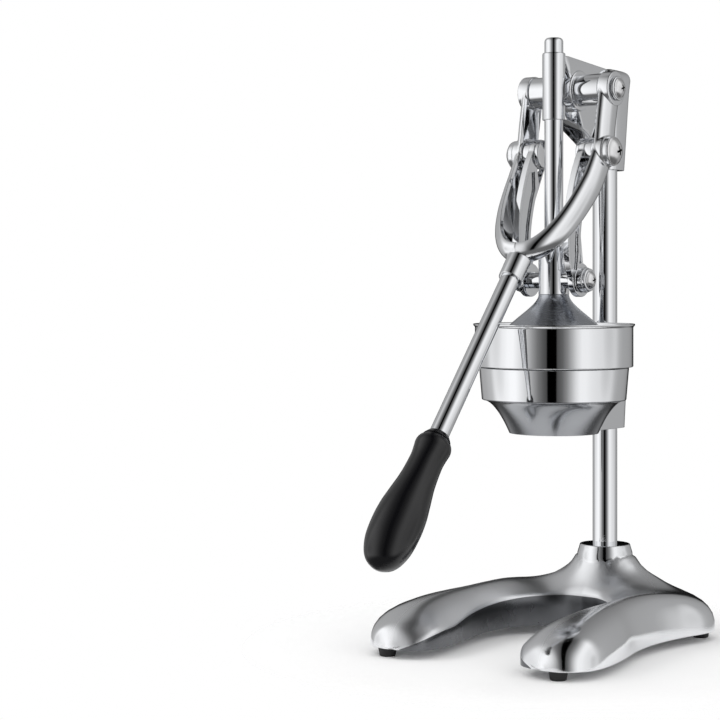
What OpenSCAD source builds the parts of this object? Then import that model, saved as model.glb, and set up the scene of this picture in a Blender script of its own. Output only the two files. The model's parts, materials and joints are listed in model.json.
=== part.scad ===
// Bench citrus press: a lever pushes a rod and bell down on a strainer cone in a bowl.
// The frame stands on four feet. Origin: the press axis where it meets the bench.
// +X is the user's right, -Y faces the user, +Z is up. The lever is drawn at its lowest.

/* [Stand post] */
// Distance from the press axis back to the post axis
post_back = 75; // [68:0.5:84]
// Outside diameter of the post tube
post_d = 19; // [18:0.5:20]
// Wall of the post tube
post_wall = 2; // [1.5:0.1:3]
// Height of the post tube's lower end above the bench
post_foot_z = 32; // [30:0.5:34]

/* [Base casting] */
// Height of the feet, and of the casting's lower edge above the bench
foot_h = 7; // [5:0.5:9]
// Top radius of a rubber foot
foot_r = 7; // [6:0.1:8]
// Distance across the two front feet and the two rear feet, centre to centre
foot_span = 145; // [140:1:150]
// Distance of the front feet in front of the press axis
foot_front = 111; // [108:0.5:113]
// Distance of the rear feet behind the press axis
foot_rear = 95; // [92:0.5:97]
// Thickness of the casting's skin
base_wall = 4.5; // [4:0.1:5.5]
// Radius of the top of the post boss
boss_r = 19.5; // [18:0.1:21]
// Height of the top of the post boss above the bench
boss_top_z = 68; // [65:0.5:72]

/* [Bowl holder] */
// Height of the juice outlet above the bench
outlet_z = 158.5; // [150:0.5:165]
// Outside radius of the juice outlet
outlet_r = 33.3; // [31:0.1:35]
// Height of the funnel below the holder band
funnel_h = 24.8; // [22:0.1:28]
// Height of the holder band
band_h = 24.4; // [20:0.1:28]
// Outside radius of the band at its top
band_r = 55.8; // [54:0.1:58]
// How much narrower the band is at its lower edge
band_taper = 1.9; // [1:0.1:2.5]
// Wall of the funnel
funnel_wall = 2.8; // [2:0.1:3.2]
// Radius of the holder's boss round the post, at the outlet's height
holder_boss_r = 15.1; // [14:0.1:16]
// How much a boss or block widens for each millimetre of its height
draft = 0.045; // [0.02:0.005:0.06]

/* [Juice bowl and strainer] */
// Outside radius of the bowl's wall
bowl_r = 59; // [57:0.1:62]
// Height of the bowl above the holder band
bowl_h = 32.5; // [28:0.5:38]
// Wall of the bowl
bowl_wall = 1.8; // [1.2:0.1:2.4]
// How far the rolled lip stands out from the wall
lip_out = 1.3; // [0.8:0.1:2]
// Height of the strainer's cone above its floor
cone_h = 40; // [34:0.5:42]
// Radius of the cone where it leaves the floor
cone_r = 34; // [31:0.5:36]
// Thickness of the strainer's sheet
strainer_t = 2; // [1.5:0.1:2.5]
// Number of ribs on the cone
rib_count = 8; // [6:1:10]
// Number of slots in the strainer's floor
slot_count = 24; // [16:1:30]
// Width of a slot
slot_w = 2.6; // [2:0.1:3]

/* [Plunger] */
// Diameter of the plunger rod
rod_d = 14; // [12:0.1:15]
// Height of the rod's top above the bench
rod_top_z = 454; // [450:0.5:465]
// Height of the crosshead's lower face above the bench, at rest
crosshead_z = 262; // [260:0.5:264]
// Height of the crosshead
crosshead_h = 36; // [32:0.5:38]
// Radius of the crosshead
crosshead_r = 11.5; // [11:0.1:12.5]
// Radius of the crosshead's side stubs
stub_r = 6.4; // [5.5:0.1:7]
// Diameter of the rod's threaded end
stud_d = 10; // [8:0.1:11]
// Radius of the bell at its rim
bell_r = 46.5; // [44:0.1:48]
// Height of the bell's rim above the strainer floor, at rest
bell_gap = 9; // [8:0.5:12]
// Wall of the bell
bell_wall = 3; // [2.5:0.1:3.5]

/* [Head] */
// Radius of the guide sleeve
sleeve_r = 8.6; // [8.2:0.1:9.5]
// Length of the guide sleeve
sleeve_h = 50.5; // [46:0.5:54]
// How far the top of the guide sleeve lies above the lever pivot
sleeve_rise = 27.1; // [25:0.1:30]
// Thickness of the web between sleeve and post, at the lever's pivot
web_t = 14.6; // [12:0.1:14.8]
// Height of the block that clamps the post
block_h = 78; // [74:0.5:84]
// Radius of the rounding along the top of that block
block_round = 8; // [4:0.5:9]
// Half width of that block at its lower end
block_half = 13; // [12.5:0.1:14]
// Radius of the cross tube that carries the lever
tube_r = 12; // [11:0.1:12.5]
// Radius of the round pad where the tube meets the web
pad_r = 15.4; // [14:0.1:16]

/* [Linkage] */
// Lever pivot: distance behind the press axis
pivot_back = 24; // [23:0.1:25]
// Lever pivot: height above the bench
pivot_z = 415.7; // [414:0.1:417]
// Link pivot on the lever: distance behind the press axis
knee_back = 14; // [13:0.1:15]
// Link pivot on the lever: height above the bench
knee_z = 368.3; // [367:0.1:370]
// Link pivot on the crosshead: height above the crosshead's lower face
toe_h = 10.8; // [10:0.1:12]
// Half distance between the inner faces of the fork's arms
fork_in = 30.5; // [30:0.1:32]
// Thickness of a fork arm
arm_t = 9.3; // [8:0.1:11]
// Width of a fork arm between its two pivots
arm_w = 26; // [22:0.5:28]
// Half distance between the inner faces of the two links
link_in = 19.5; // [18.5:0.1:20.5]
// Thickness of a link
link_t = 4.8; // [4:0.1:5.2]
// Thickness of a link's sunk middle
link_web = 1.8; // [1.4:0.1:2.6]
// Width of the raised rim along a link's edges
link_rim = 3; // [2:0.1:4]
// Width of a link under its upper eye
link_w = 20; // [17:0.5:21]
// Width of a link above its lower eye
link_low_w = 15; // [12:0.5:17]
// How far a link bows forward of the line between its pivots
link_bow = 15; // [11:0.5:16]
// Radius of a link's upper eye
link_eye_r = 11.2; // [10.8:0.1:12]
// Radius of the round boss through that eye
link_boss_r = 10.6; // [9.5:0.1:10.8]
// How far that boss stands in from the link's inner face
link_boss_in = 3; // [2:0.1:4]
// Radius of a link's lower eye
link_toe_r = 12.5; // [11.5:0.1:13]
// Radius of the boss round the lower eye's screw
toe_boss_r = 9.3; // [8.6:0.1:10]
// Height of that boss above the link's outer face
toe_boss_h = 5; // [3:0.1:5.5]
// Radius of the pin on which the link turns in the lever
knee_pin_r = 6; // [5:0.1:6.5]
// Radius of the raised boss round that pin on the lever
knee_boss_r = 11; // [10:0.1:12]
// Height of that boss above the arm
knee_boss_h = 3.7; // [2:0.1:5]

/* [Handle] */
// Angle between the handle and the vertical, at rest
handle_angle = 40; // [38:0.5:42]
// Distance from the lever's knee down to the socket's mouth, along the handle
socket_reach = 120.6; // [116:0.1:126]
// Radius of the socket
socket_r = 8.8; // [8.4:0.1:10]
// Diameter of the handle bar
bar_d = 14; // [12:0.1:15]
// How far the lever's knee lies in front of the handle's axis
knee_off = 4.7; // [3:0.1:6]
// Distance from the knee to where the fork's arms begin to curve in
bow_start = 5; // [2:0.5:8]
// Distance from the knee to the middle of the fork's bow
bow_end = 98.8; // [96:0.1:103]
// Thickness of the bow at its middle
bow_t = 9.5; // [8:0.5:12]
// Width of the bow at its middle
bow_w = 18.5; // [15:0.5:21]
// How far the bow's middle lies in front of the handle's axis
bow_lift = 2.8; // [1:0.1:4]
// Length of bar that shows between socket and grip
bar_show = 139.5; // [120:0.5:160]
// Length of the grip
grip_len = 110.5; // [100:0.5:130]
// Largest radius of the grip
grip_r = 17.6; // [16:0.1:20]
// Radius of the grip's waist
grip_waist_r = 11.9; // [11:0.1:13]
// Radius of the grip's shoulder, next to the bar
grip_shoulder_r = 13; // [12:0.1:14]

/* [Fits] */
// Radial clearance where one piece turns or slides in another
run_gap = 0.05; // [0.03:0.01:0.08]
// Clearance between flat faces that slide past each other
side_gap = 0.3; // [0.2:0.05:0.5]

/* [Hidden] */
$fn = 64;

chrome = "silver";
steel = "gainsboro";
dark_steel = "dimgray";
rubber = "black";

// Heights that follow from the sizes above
ledge_z = outlet_z + funnel_h;
band_top_z = ledge_z + band_h;
bowl_top_z = band_top_z + bowl_h;
sleeve_top_z = pivot_z + sleeve_rise;
sleeve_z = sleeve_top_z - sleeve_h;
block_top_z = sleeve_top_z - 7;
block_z = block_top_z - block_h;
post_top_z = block_top_z - 10;
toe_z = crosshead_z + toe_h;

// Pivots as distances back and up
pivot = [pivot_back, pivot_z];
knee = [knee_back, knee_z];
toe = [0, toe_z];

function lerp(a, b, t) = a + (b - a) * t;
function unit(v) = v / norm(v);
// A point on the Bezier curve with the control points p
function bez(p, t) =
    len(p) == 1 ? p[0] : bez([for (i = [0 : len(p) - 2]) lerp(p[i], p[i + 1], t)], t);
function bez_line(p, n) = [for (i = [0 : n]) bez(p, i / n)];
// A smooth curve through the rows of a table, at station s
function row(p, i) = p[max(0, min(len(p) - 1, i))];
function smooth_row(p, s) =
    let (i = min(floor(s), len(p) - 2), t = s - i,
         a = row(p, i - 1), b = row(p, i), c = row(p, i + 1), d = row(p, i + 2))
    (2 * b + (c - a) * t + (2 * a - 5 * b + 4 * c - d) * t * t + (3 * b - a - 3 * c + d) * t * t * t) / 2;
// Triangles between two rings of points, and over a ring
function band_faces(k, n) =
    [for (j = [0 : n - 1]) let (a = k * n + j, b = k * n + (j + 1) % n)
        each [[a, b, b + n], [a, b + n, a + n]]];

// A shape drawn back and up, given thickness from side to side
module slab(x0, x1) {
    translate([x0, 0, 0]) rotate([90, 0, 90]) linear_extrude(x1 - x0) children();
}
// A round bar from side to side at pivot p
module cross_bar(p, x0, x1, r) {
    translate([x0, p[0], p[1]]) rotate([0, 90, 0]) cylinder(r = r, h = x1 - x0);
}
// Turns a piece drawn along +Z so that it points to the right at pivot p
module face_right(p, x) {
    translate([x, p[0], p[1]]) rotate([0, 90, 0]) children();
}
// The pieces of the left side are mirror images
module on_left() {
    mirror([1, 0, 0]) children();
}
// A shallow dome of radius r and height h, standing on z = 0
module dome(r, h) {
    ball = (r * r + h * h) / (2 * h);
    intersection() {
        translate([0, 0, h - ball]) sphere(ball);
        cylinder(r = r + 1, h = h);
    }
}
// A domed screw with a cross recess: the head stands on z = 0 and the shank goes down
module domed_screw(head_r, head_h, shank_r, shank_l, neck_r = 0, neck_l = 0) {
    cross_w = head_r * 0.2;
    cross_l = head_r * 0.95;
    difference() {
        union() {
            dome(head_r, head_h);
            translate([0, 0, -shank_l]) cylinder(r = shank_r, h = shank_l + head_h / 2);
            if (neck_l > 0) translate([0, 0, -neck_l]) cylinder(r = neck_r, h = neck_l + head_h / 2);
        }
        for (a = [0, 90])
            rotate(a) translate([-cross_l / 2, -cross_w / 2, head_h * 0.45])
                cube([cross_l, cross_w, head_h]);
    }
}

// Base casting
// Stations round the right half of the horseshoe, from the middle of the back to the toe:
// inner edge x, y; outer edge x, y; height of the inner edge; height of the ridge; place of
// the ridge across the strip.
base_rows = [
    [0, 41, 0, 105, 32, 44, 0.52],
    [13, 39.5, 36, 107, 32, 43, 0.52],
    [23, 35, 68, 108.5, 31.5, 39, 0.45],
    [31, 28.5, 85, 95, 31, 38, 0.4],
    [38, 19, 87.5, 76, 30.5, 39, 0.42],
    [43.5, 8, 82, 48, 29.5, 40.5, 0.45],
    [46.5, -7, 79, 17, 28.5, 41, 0.44],
    [46.5, -26, 81.5, -17, 27, 40.5, 0.43],
    [43, -49, 89, -48, 25, 40, 0.42],
    [39, -73, 94, -76, 21, 38, 0.42],
    [37, -91, 94.5, -96, 20, 34.5, 0.42],
    [38.5, -104.5, 90, -109, 17.5, 29, 0.44],
    [45.5, -115, 80.5, -118.5, 13, 21.5, 0.47],
    [57, -120, 67, -121.5, 8, 11, 0.5]];
// The casting is drawn for these places of the feet, and its points follow the feet from there
drawn_foot_x = 72.5;
drawn_foot_rear = 95;
drawn_foot_front = 111;
function follow_feet(x, y) =
    [x + (foot_span / 2 - drawn_foot_x) * min(1, x / drawn_foot_x),
     y + (y > 0 ? (foot_rear - drawn_foot_rear) * min(1, y / drawn_foot_rear)
        : (foot_front - drawn_foot_front) * max(-1, y / drawn_foot_front))];
leg_rows = [for (r = base_rows) let (a = follow_feet(r[0], r[1]), b = follow_feet(r[2], r[3]))
    [a[0], a[1], b[0], b[1], r[4], r[5], r[6]]];
base_steps = 2;
post_at = [0, post_back];
// The flare of the boss, and the low rise round it, at distance r from the post
flare_h = 20;
flare_spread = 6;
hub_h = 7;
hub_reach = 46;
function flare(r) = flare_h * exp(-(r - boss_r) / flare_spread);
function hub(r) = hub_h * exp(-pow(r / hub_reach, 4));
// The rounded cross section: inner wall, slope up to the ridge, and shoulder down to the edge
shoulder = 2.5;
function strip_height(u, low, inner, ridge, ur) =
    u < ur ? lerp(inner, ridge, 1 - pow(1 - u / ur, 2))
        : low + (ridge - low) * pow(max(0, 1 - pow((u - ur) / (1 - ur), shoulder)), 1 / shoulder);
function strip_places(ur, n) =
    concat([for (i = [0 : n - 1]) ur * i / n],
        [for (i = [0 : n]) ur + (1 - ur) * pow(sin(90 * i / n), 2 / shoulder)]);
// One cross section; in is how far it lies under the outer skin
function base_ring(r, in, n) =
    let (a = [r[0], r[1]], b = [r[2], r[3]], across = norm(b - a),
         cut = min(in, across * 0.3) / across,
         p = lerp(a, b, cut), q = lerp(b, a, cut),
         low = foot_h, inner = max(r[4] - in, low + 0.2), ridge = max(r[5] - in, low + 0.3))
    concat([[p[0], p[1], low]],
        [for (u = strip_places(r[6], n)) let (xy = lerp(p, q, u), d = norm(xy - post_at))
            [xy[0], xy[1], min(boss_top_z - 7, strip_height(u, low, inner, ridge, r[6])
                + hub(d) * min(1, 2 * u, 3 * (1 - u))
                + (in > 0 ? 0 : flare(max(d, boss_r)) * min(1, 6 * (1 - u))))]]);
base_n = 4;
function flip_x(p) = [for (v = p) [-v[0], v[1], v[2]]];

function base_half(in) =
    [for (k = [0 : base_steps * (len(leg_rows) - 1)])
        base_ring(smooth_row(leg_rows, k / base_steps), in, base_n)];
// Outer skin and underside as one closed ring of points at each station
module base_shell() {
    outer = base_half(0);
    under = base_half(base_wall);
    half = [for (k = [0 : len(outer) - 1])
        concat(outer[k], [for (j = [len(under[k]) - 1 : -1 : 0]) under[k][j]])];
    last = len(half) - 1;
    rings = concat([for (k = [last : -1 : 1]) flip_x(half[k])], half);
    n = len(rings[0]);
    count = len(rings);
    m = len(outer[0]);
    // Each toe is closed between the outer skin and the underside
    function toe_faces(k) = [for (j = [0 : m - 2])
        let (a = k * n + j, b = k * n + j + 1, c = k * n + n - 2 - j, d = k * n + n - 1 - j)
        each [[a, c, b], [a, d, c]]];
    flipped = [for (f = toe_faces(count - 1)) [f[0], f[2], f[1]]];
    polyhedron(points = [for (r = rings) each r],
        faces = concat([for (k = [0 : count - 2]) each band_faces(k, n)], toe_faces(0), flipped));
}
module foot_places() {
    for (x = [-1, 1])
        for (y = [-foot_front, foot_rear])
            translate([x * foot_span / 2, y, 0]) children();
}
// The post stands in a column that hangs down inside the casting
column_z = foot_h + 8;
column_r = 16;
bolt_gap = 0.3;
pad_front_h = 7;
pad_rear_h = 12;
module base_casting() {
    color(chrome) difference() {
        union() {
            base_shell();
            translate([0, post_back, 0]) rotate_extrude()
                polygon([[0, column_z], [column_r, column_z], [column_r, boss_top_z - 28],
                    [boss_r + 3, boss_top_z - 22], [boss_r + 1.7, boss_top_z - 6.5],
                    [boss_r + 0.6, boss_top_z - 3], [boss_r, boss_top_z], [0, boss_top_z]]);
            for (x = [-1, 1]) {
                translate([x * foot_span / 2, -foot_front, foot_h])
                    cylinder(r = foot_r, h = pad_front_h);
                translate([x * foot_span / 2, foot_rear, foot_h])
                    cylinder(r = foot_r, h = pad_rear_h);
            }
        }
        translate([0, post_back, post_foot_z]) cylinder(r = post_d / 2 + run_gap, h = boss_top_z);
        translate([0, post_back, 0]) cylinder(r = bolt_r + bolt_gap, h = boss_top_z);
        foot_places() cylinder(r = foot_screw_r + screw_gap, h = foot_screw_top + 0.5);
    }
}

// Feet
foot_screw_r = 1.6;
foot_screw_head_r = 2.9;
foot_screw_head_h = 1.8;
foot_screw_hold = 5.5;
foot_screw_top = foot_h + foot_screw_hold;
screw_gap = 0.1;
// The screw's head lies in a recess in the foot
foot_recess = 3;
recess_r = foot_screw_head_r + 0.3;
module foot(x, y) {
    color(rubber) translate([x * foot_span / 2, y, 0]) rotate_extrude()
        polygon([[recess_r, 0], [foot_r - 1.7, 0], [foot_r - 1.2, 0.5], [foot_r, foot_h],
            [foot_screw_r + screw_gap, foot_h], [foot_screw_r + screw_gap, foot_recess],
            [recess_r, foot_recess]]);
}
module foot_front_left() { foot(-1, -foot_front); }
module foot_front_right() { foot(1, -foot_front); }
module foot_rear_left() { foot(-1, foot_rear); }
module foot_rear_right() { foot(1, foot_rear); }
module foot_screws() {
    head_z = foot_recess - foot_screw_head_h;
    slot = [foot_screw_head_r * 1.1, foot_screw_head_r * 0.28, foot_screw_head_h * 0.55];
    color(steel) foot_places() difference() {
        union() {
            translate([0, 0, head_z]) cylinder(r = foot_screw_head_r, h = foot_screw_head_h);
            translate([0, 0, head_z]) cylinder(r = foot_screw_r, h = foot_screw_top - head_z);
        }
        for (a = [0, 90])
            rotate(a) translate([-slot[0] / 2, -slot[1] / 2, head_z - slot[2]])
                cube([slot[0], slot[1], 2 * slot[2]]);
    }
}

// Post
bolt_r = 4;
bolt_head_r = 7.5;
bolt_head_h = 5.3;
plug_h = 24;
module post_tube() {
    color(chrome) translate([0, post_back, post_foot_z]) difference() {
        cylinder(r = post_d / 2, h = post_top_z - post_foot_z);
        translate([0, 0, -1]) cylinder(r = post_d / 2 - post_wall, h = post_top_z);
    }
}
module post_plug() {
    color(steel) translate([0, post_back, post_foot_z]) difference() {
        cylinder(r = post_d / 2 - post_wall - run_gap, h = plug_h);
        translate([0, 0, -1]) cylinder(r = bolt_r, h = plug_h + 2);
    }
}
bolt_washer_r = 9;
bolt_washer_t = 1.8;
module post_washer() {
    color(steel) translate([0, post_back, column_z - bolt_washer_t]) difference() {
        cylinder(r = bolt_washer_r, h = bolt_washer_t);
        translate([0, 0, -1]) cylinder(r = bolt_r + bolt_gap, h = bolt_washer_t + 2);
    }
}
module post_bolt() {
    head_z = column_z - bolt_washer_t - bolt_head_h;
    color(steel) translate([0, post_back, head_z]) {
        cylinder(r = bolt_head_r, h = bolt_head_h, $fn = 6);
        cylinder(r = bolt_r - run_gap, h = post_foot_z + plug_h * 0.8 - head_z);
    }
}

// Head
set_screw_r = 2.5;
block_top_half = block_half + draft * block_h;
tube_half = fork_in - side_gap;
screw_thread_r = 3;
thread_depth = 14;
// Side view of the head: sleeve, sloping top, rounded rear corner and arched lower edge
module head_profile() {
    rear = post_back + block_top_half + 1;
    span = post_back - block_half - sleeve_r;
    corner = 14;
    polygon(concat([[0, sleeve_z]],
        [for (t = [0 : 7.5 : 90]) [sleeve_r + span * sin(t), block_z + (sleeve_z - block_z) * cos(t)]],
        [[rear, block_z]],
        [for (t = [0 : 15 : 80])
            [rear - corner + corner * cos(t), block_top_z - 1 - corner + corner * sin(t)]],
        [[sleeve_r, sleeve_top_z - 2.3], [0, sleeve_top_z - 2.3]]));
}
// Every upright face of the casting leans in towards its lower end
module leaning_web() {
    function half(z) = web_t / 2 + draft * (z - pivot_z);
    intersection() {
        slab(-web_t, web_t) head_profile();
        translate([0, post_back, 0]) rotate([90, 0, 0]) linear_extrude(post_back)
            polygon([[-half(block_z), block_z], [half(block_z), block_z],
                [half(sleeve_top_z), sleeve_top_z], [-half(sleeve_top_z), sleeve_top_z]]);
    }
}
module post_block() {
    corner = 8;
    top = [for (t = [0 : 22.5 : 90])
        [block_top_half - block_round * (1 - cos(t)), block_top_z - block_round * (1 - sin(t)) - 0.1]];
    hull()
        for (x = [-1, 1], y = [-1, 1], level = concat([[block_half, block_z]], top)) {
            r = max(corner - (block_top_half - level[0]) * (level[1] > block_z ? 1 : 0), 1);
            translate([x * (level[0] - r), post_back + y * (level[0] - r), level[1]])
                cylinder(r = r, h = 0.1, $fn = 32);
        }
}
module set_screw_at(z, y0, y1, r) {
    translate([0, y0, z]) rotate([-90, 0, 0]) cylinder(r = r, h = y1 - y0);
}
set_screw_zs = [block_z + 18, block_z + 56];
module head_casting() {
    color(chrome) difference() {
        union() {
            leaning_web();
            intersection() {
                slab(-block_top_half - 1, block_top_half + 1) head_profile();
                post_block();
            }
            rotate_extrude() polygon([[0, sleeve_z], [sleeve_r - 0.6, sleeve_z], [sleeve_r, sleeve_z + 0.6],
                [sleeve_r, sleeve_top_z - 1.5], [sleeve_r - 1.5, sleeve_top_z], [0, sleeve_top_z]]);
            cross_bar(pivot, -tube_half, tube_half, tube_r);
            cross_bar(pivot, -web_t / 2 - 1.8, web_t / 2 + 1.8, pad_r);
        }
        translate([0, 0, sleeve_z - 1]) cylinder(r = rod_d / 2 + run_gap, h = sleeve_h + 2);
        translate([0, post_back, block_z - 1])
            cylinder(r = post_d / 2 + run_gap, h = post_top_z - block_z + 1);
        for (z = set_screw_zs) set_screw_at(z, post_back, post_back + 2 * block_top_half, set_screw_r);
        cross_bar(pivot, -tube_half - 1, thread_depth - tube_half, screw_thread_r);
        cross_bar(pivot, tube_half - thread_depth, tube_half + 1, screw_thread_r);
    }
}
// A headless screw with a hexagon socket, pressed on the back of the post at height z
module grub(z, y1) {
    y0 = post_back + post_d / 2 + run_gap;
    difference() {
        set_screw_at(z, y0, y1, set_screw_r - run_gap);
        translate([0, y1 - 2, z]) rotate([-90, 0, 0]) cylinder(r = 1.4, h = 3, $fn = 6);
    }
}
module head_set_screws() {
    color(dark_steel) for (z = set_screw_zs)
        grub(z, post_back + block_half + draft * (z - block_z) - 0.5);
}

// Bowl holder
spigot_gap = 0.3;
spigot_r = band_r - 3.8;
function holder_boss(z) = holder_boss_r + draft * (z - outlet_z);
// Outside and inside of the funnel, from the ledge down to the outlet
funnel_out = bez_line([[band_r - band_taper - 4, ledge_z], [outlet_r + 11, ledge_z],
    [outlet_r + 6, ledge_z - 13], [outlet_r, outlet_z]], 10);
funnel_in = bez_line([[outlet_r - funnel_wall, outlet_z], [outlet_r + 6 - funnel_wall, ledge_z - 12],
    [outlet_r + 10 - funnel_wall, ledge_z + 2.5], [band_r - band_taper - 5, ledge_z + 3.5]], 10);
module bowl_holder() {
    arm_low = holder_boss(outlet_z) - run_gap;
    arm_high = holder_boss(band_top_z) - run_gap;
    color(chrome) difference() {
        union() {
            rotate_extrude() polygon(concat([[0, outlet_z], [0, band_top_z], [band_r, band_top_z],
                [band_r - band_taper, ledge_z + 0.4], [band_r - band_taper - 0.4, ledge_z]], funnel_out));
            translate([0, post_back, outlet_z])
                cylinder(r1 = holder_boss(outlet_z), r2 = holder_boss(band_top_z), h = band_top_z - outlet_z);
            translate([0, post_back, 0]) rotate([90, 0, 0]) linear_extrude(post_back - outlet_r + 4)
                polygon([[-arm_low, outlet_z], [arm_low, outlet_z], [arm_high, band_top_z],
                    [-arm_high, band_top_z]]);
        }
        rotate_extrude() polygon(concat([[0, outlet_z - 1], [outlet_r - funnel_wall, outlet_z - 1]],
            funnel_in, [[spigot_r + spigot_gap, ledge_z + 7], [spigot_r + spigot_gap, band_top_z + 1],
                [0, band_top_z + 1]]));
        translate([0, post_back, outlet_z - 1]) cylinder(r = post_d / 2 + run_gap, h = band_top_z);
        set_screw_at(ledge_z, post_back, post_back + 30, set_screw_r);
    }
}
module holder_set_screw() {
    color(dark_steel) grub(ledge_z, post_back + holder_boss(ledge_z) - 0.6);
}

// Bowl and strainer
floor_z = ledge_z + 11;
module juice_bowl() {
    inner = bowl_r - bowl_wall;
    sill_r = spigot_r - 8;
    color(steel) rotate_extrude() polygon([[sill_r, floor_z - 2.2], [spigot_r - 1, floor_z - 2.2],
        [spigot_r, floor_z - 1.2], [spigot_r, band_top_z], [bowl_r - 2.2, band_top_z],
        [bowl_r - 0.6, band_top_z + 0.7], [bowl_r, band_top_z + 2.4], [bowl_r, bowl_top_z - 3],
        [bowl_r + lip_out * 0.4, bowl_top_z - 1.4], [bowl_r + lip_out, bowl_top_z - 0.6],
        [bowl_r + lip_out, bowl_top_z], [bowl_r - 0.6, bowl_top_z], [inner, bowl_top_z - 2.4],
        [inner, band_top_z + 5], [inner - 2.2, band_top_z + 2.4], [spigot_r - bowl_wall, band_top_z - 1.5],
        [spigot_r - bowl_wall, floor_z], [sill_r, floor_z]]);
}
cone_line = bez_line([[cone_r, floor_z + strainer_t], [cone_r * 0.55, floor_z + strainer_t + cone_h * 0.12],
    [cone_r * 0.42, floor_z + cone_h * 0.95], [0, floor_z + strainer_t + cone_h]], 10);
cone_under = bez_line([[cone_r - strainer_t, floor_z], [cone_r * 0.55 - strainer_t, floor_z + cone_h * 0.12],
    [cone_r * 0.42 - strainer_t, floor_z + cone_h * 0.95 - strainer_t], [0, floor_z + cone_h]], 10);
module strainer_cone() {
    edge_r = spigot_r - bowl_wall - spigot_gap;
    rib_out = 1.8;
    color(steel) difference() {
        union() {
            rotate_extrude() polygon(concat([[edge_r, floor_z], [edge_r, floor_z + strainer_t]], cone_line,
                [for (i = [10 : -1 : 0]) cone_under[i]]));
            for (i = [0 : rib_count - 1])
                rotate([90, 0, 360 * i / rib_count]) translate([0, 0, -1]) linear_extrude(2)
                    polygon(concat([for (k = [1 : 8]) cone_line[k] + [rib_out, 0]],
                        [for (k = [8 : -1 : 1]) cone_line[k] - [1, 0]]));
        }
        for (i = [0 : slot_count - 1])
            rotate((i + 0.5) * 360 / slot_count)
                translate([cone_r + 2, -slot_w / 2, floor_z - 1])
                    cube([edge_r - cone_r - 6, slot_w, strainer_t + 2]);
    }
}

// Plunger
shoulder_z = crosshead_z + crosshead_h - 10;
hub_t = 9;
hub_r = 13.5;
bell_z = floor_z + strainer_t + bell_gap;
nut_h = 8;
nut_r = 9.8;
nut_cap_h = 4;
stub_half = link_in - side_gap;
module plunger_rod() {
    round_r = 3;
    color(chrome) rotate_extrude() polygon(concat(
        [[0, crosshead_z - hub_t - nut_h], [stud_d / 2, crosshead_z - hub_t - nut_h],
            [stud_d / 2, shoulder_z], [rod_d / 2, shoulder_z]],
        [for (t = [0 : 15 : 90])
            [rod_d / 2 - round_r + round_r * cos(t), rod_top_z - round_r + round_r * sin(t)]],
        [[0, rod_top_z]]));
}
module crosshead() {
    top_z = crosshead_z + crosshead_h;
    color(chrome) difference() {
        union() {
            rotate_extrude() polygon([[0, crosshead_z], [crosshead_r - 0.4, crosshead_z],
                [crosshead_r, crosshead_z + 0.4], [crosshead_r, top_z - 1], [crosshead_r - 1, top_z],
                [0, top_z]]);
            cross_bar(toe, -stub_half, stub_half, stub_r);
        }
        translate([0, 0, crosshead_z - 1]) cylinder(r = stud_d / 2 + run_gap, h = crosshead_h + 2);
        translate([0, 0, shoulder_z]) cylinder(r = rod_d / 2 + run_gap, h = crosshead_h);
        cross_bar(toe, -stub_half - 1, -crosshead_r - 1, toe_screw_r + run_gap);
        cross_bar(toe, crosshead_r + 1, stub_half + 1, toe_screw_r + run_gap);
    }
}
// Outside and inside of the bell, from the neck down to the rim
bell_out = bez_line([[crosshead_r - 0.2, crosshead_z], [crosshead_r + 0.4, crosshead_z - 8],
    [crosshead_r + 15, crosshead_z - 15], [bell_r - 7, crosshead_z - 29]], 8);
bell_skirt = bez_line([[bell_r - 7, crosshead_z - 29], [bell_r - 2.5, crosshead_z - 33],
    [bell_r, crosshead_z - 37], [bell_r, crosshead_z - 42]], 5);
bell_in_r = bell_r - bell_wall;
bell_under = bez_line([[bell_in_r, crosshead_z - 43], [bell_in_r, crosshead_z - 37.5],
    [bell_in_r - 2.5, crosshead_z - 34.5], [bell_in_r - 7, crosshead_z - 30.5]], 5);
module press_bell() {
    color(dark_steel) difference() {
        rotate_extrude() polygon(concat([[0, crosshead_z]], bell_out, [for (i = [1 : 5]) bell_skirt[i]],
            [[bell_r, bell_z + 0.8], [bell_r - 0.8, bell_z], [bell_in_r, bell_z]],
            bell_under, [[hub_r + 2, crosshead_z - hub_t - 1.5], [hub_r, crosshead_z - hub_t],
                [0, crosshead_z - hub_t]]));
        translate([0, 0, crosshead_z - hub_t - 1]) cylinder(r = stud_d / 2 + run_gap, h = hub_t + 2);
    }
}
module bell_nut() {
    top = crosshead_z - hub_t;
    color(steel) difference() {
        union() {
            translate([0, 0, top - nut_h]) cylinder(r = nut_r, h = nut_h, $fn = 6);
            translate([0, 0, top - nut_h]) mirror([0, 0, 1]) dome(nut_r - 1.8, nut_cap_h);
        }
        translate([0, 0, top - nut_h]) cylinder(r = stud_d / 2 + run_gap, h = nut_h + 1);
    }
}

// Lever
// Directions along the handle, down and forward, and square to it, up and forward
along = [-sin(handle_angle), -cos(handle_angle)];
square_to = [-cos(handle_angle), sin(handle_angle)];
knee_foot = knee - knee_off * square_to;
function on_axis(s, n = 0) = knee_foot + s * along + n * square_to;
pivot_s = (pivot - knee_foot) * along;
pivot_n = (pivot - knee_foot) * square_to;
arm_x = fork_in + arm_t / 2;
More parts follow.
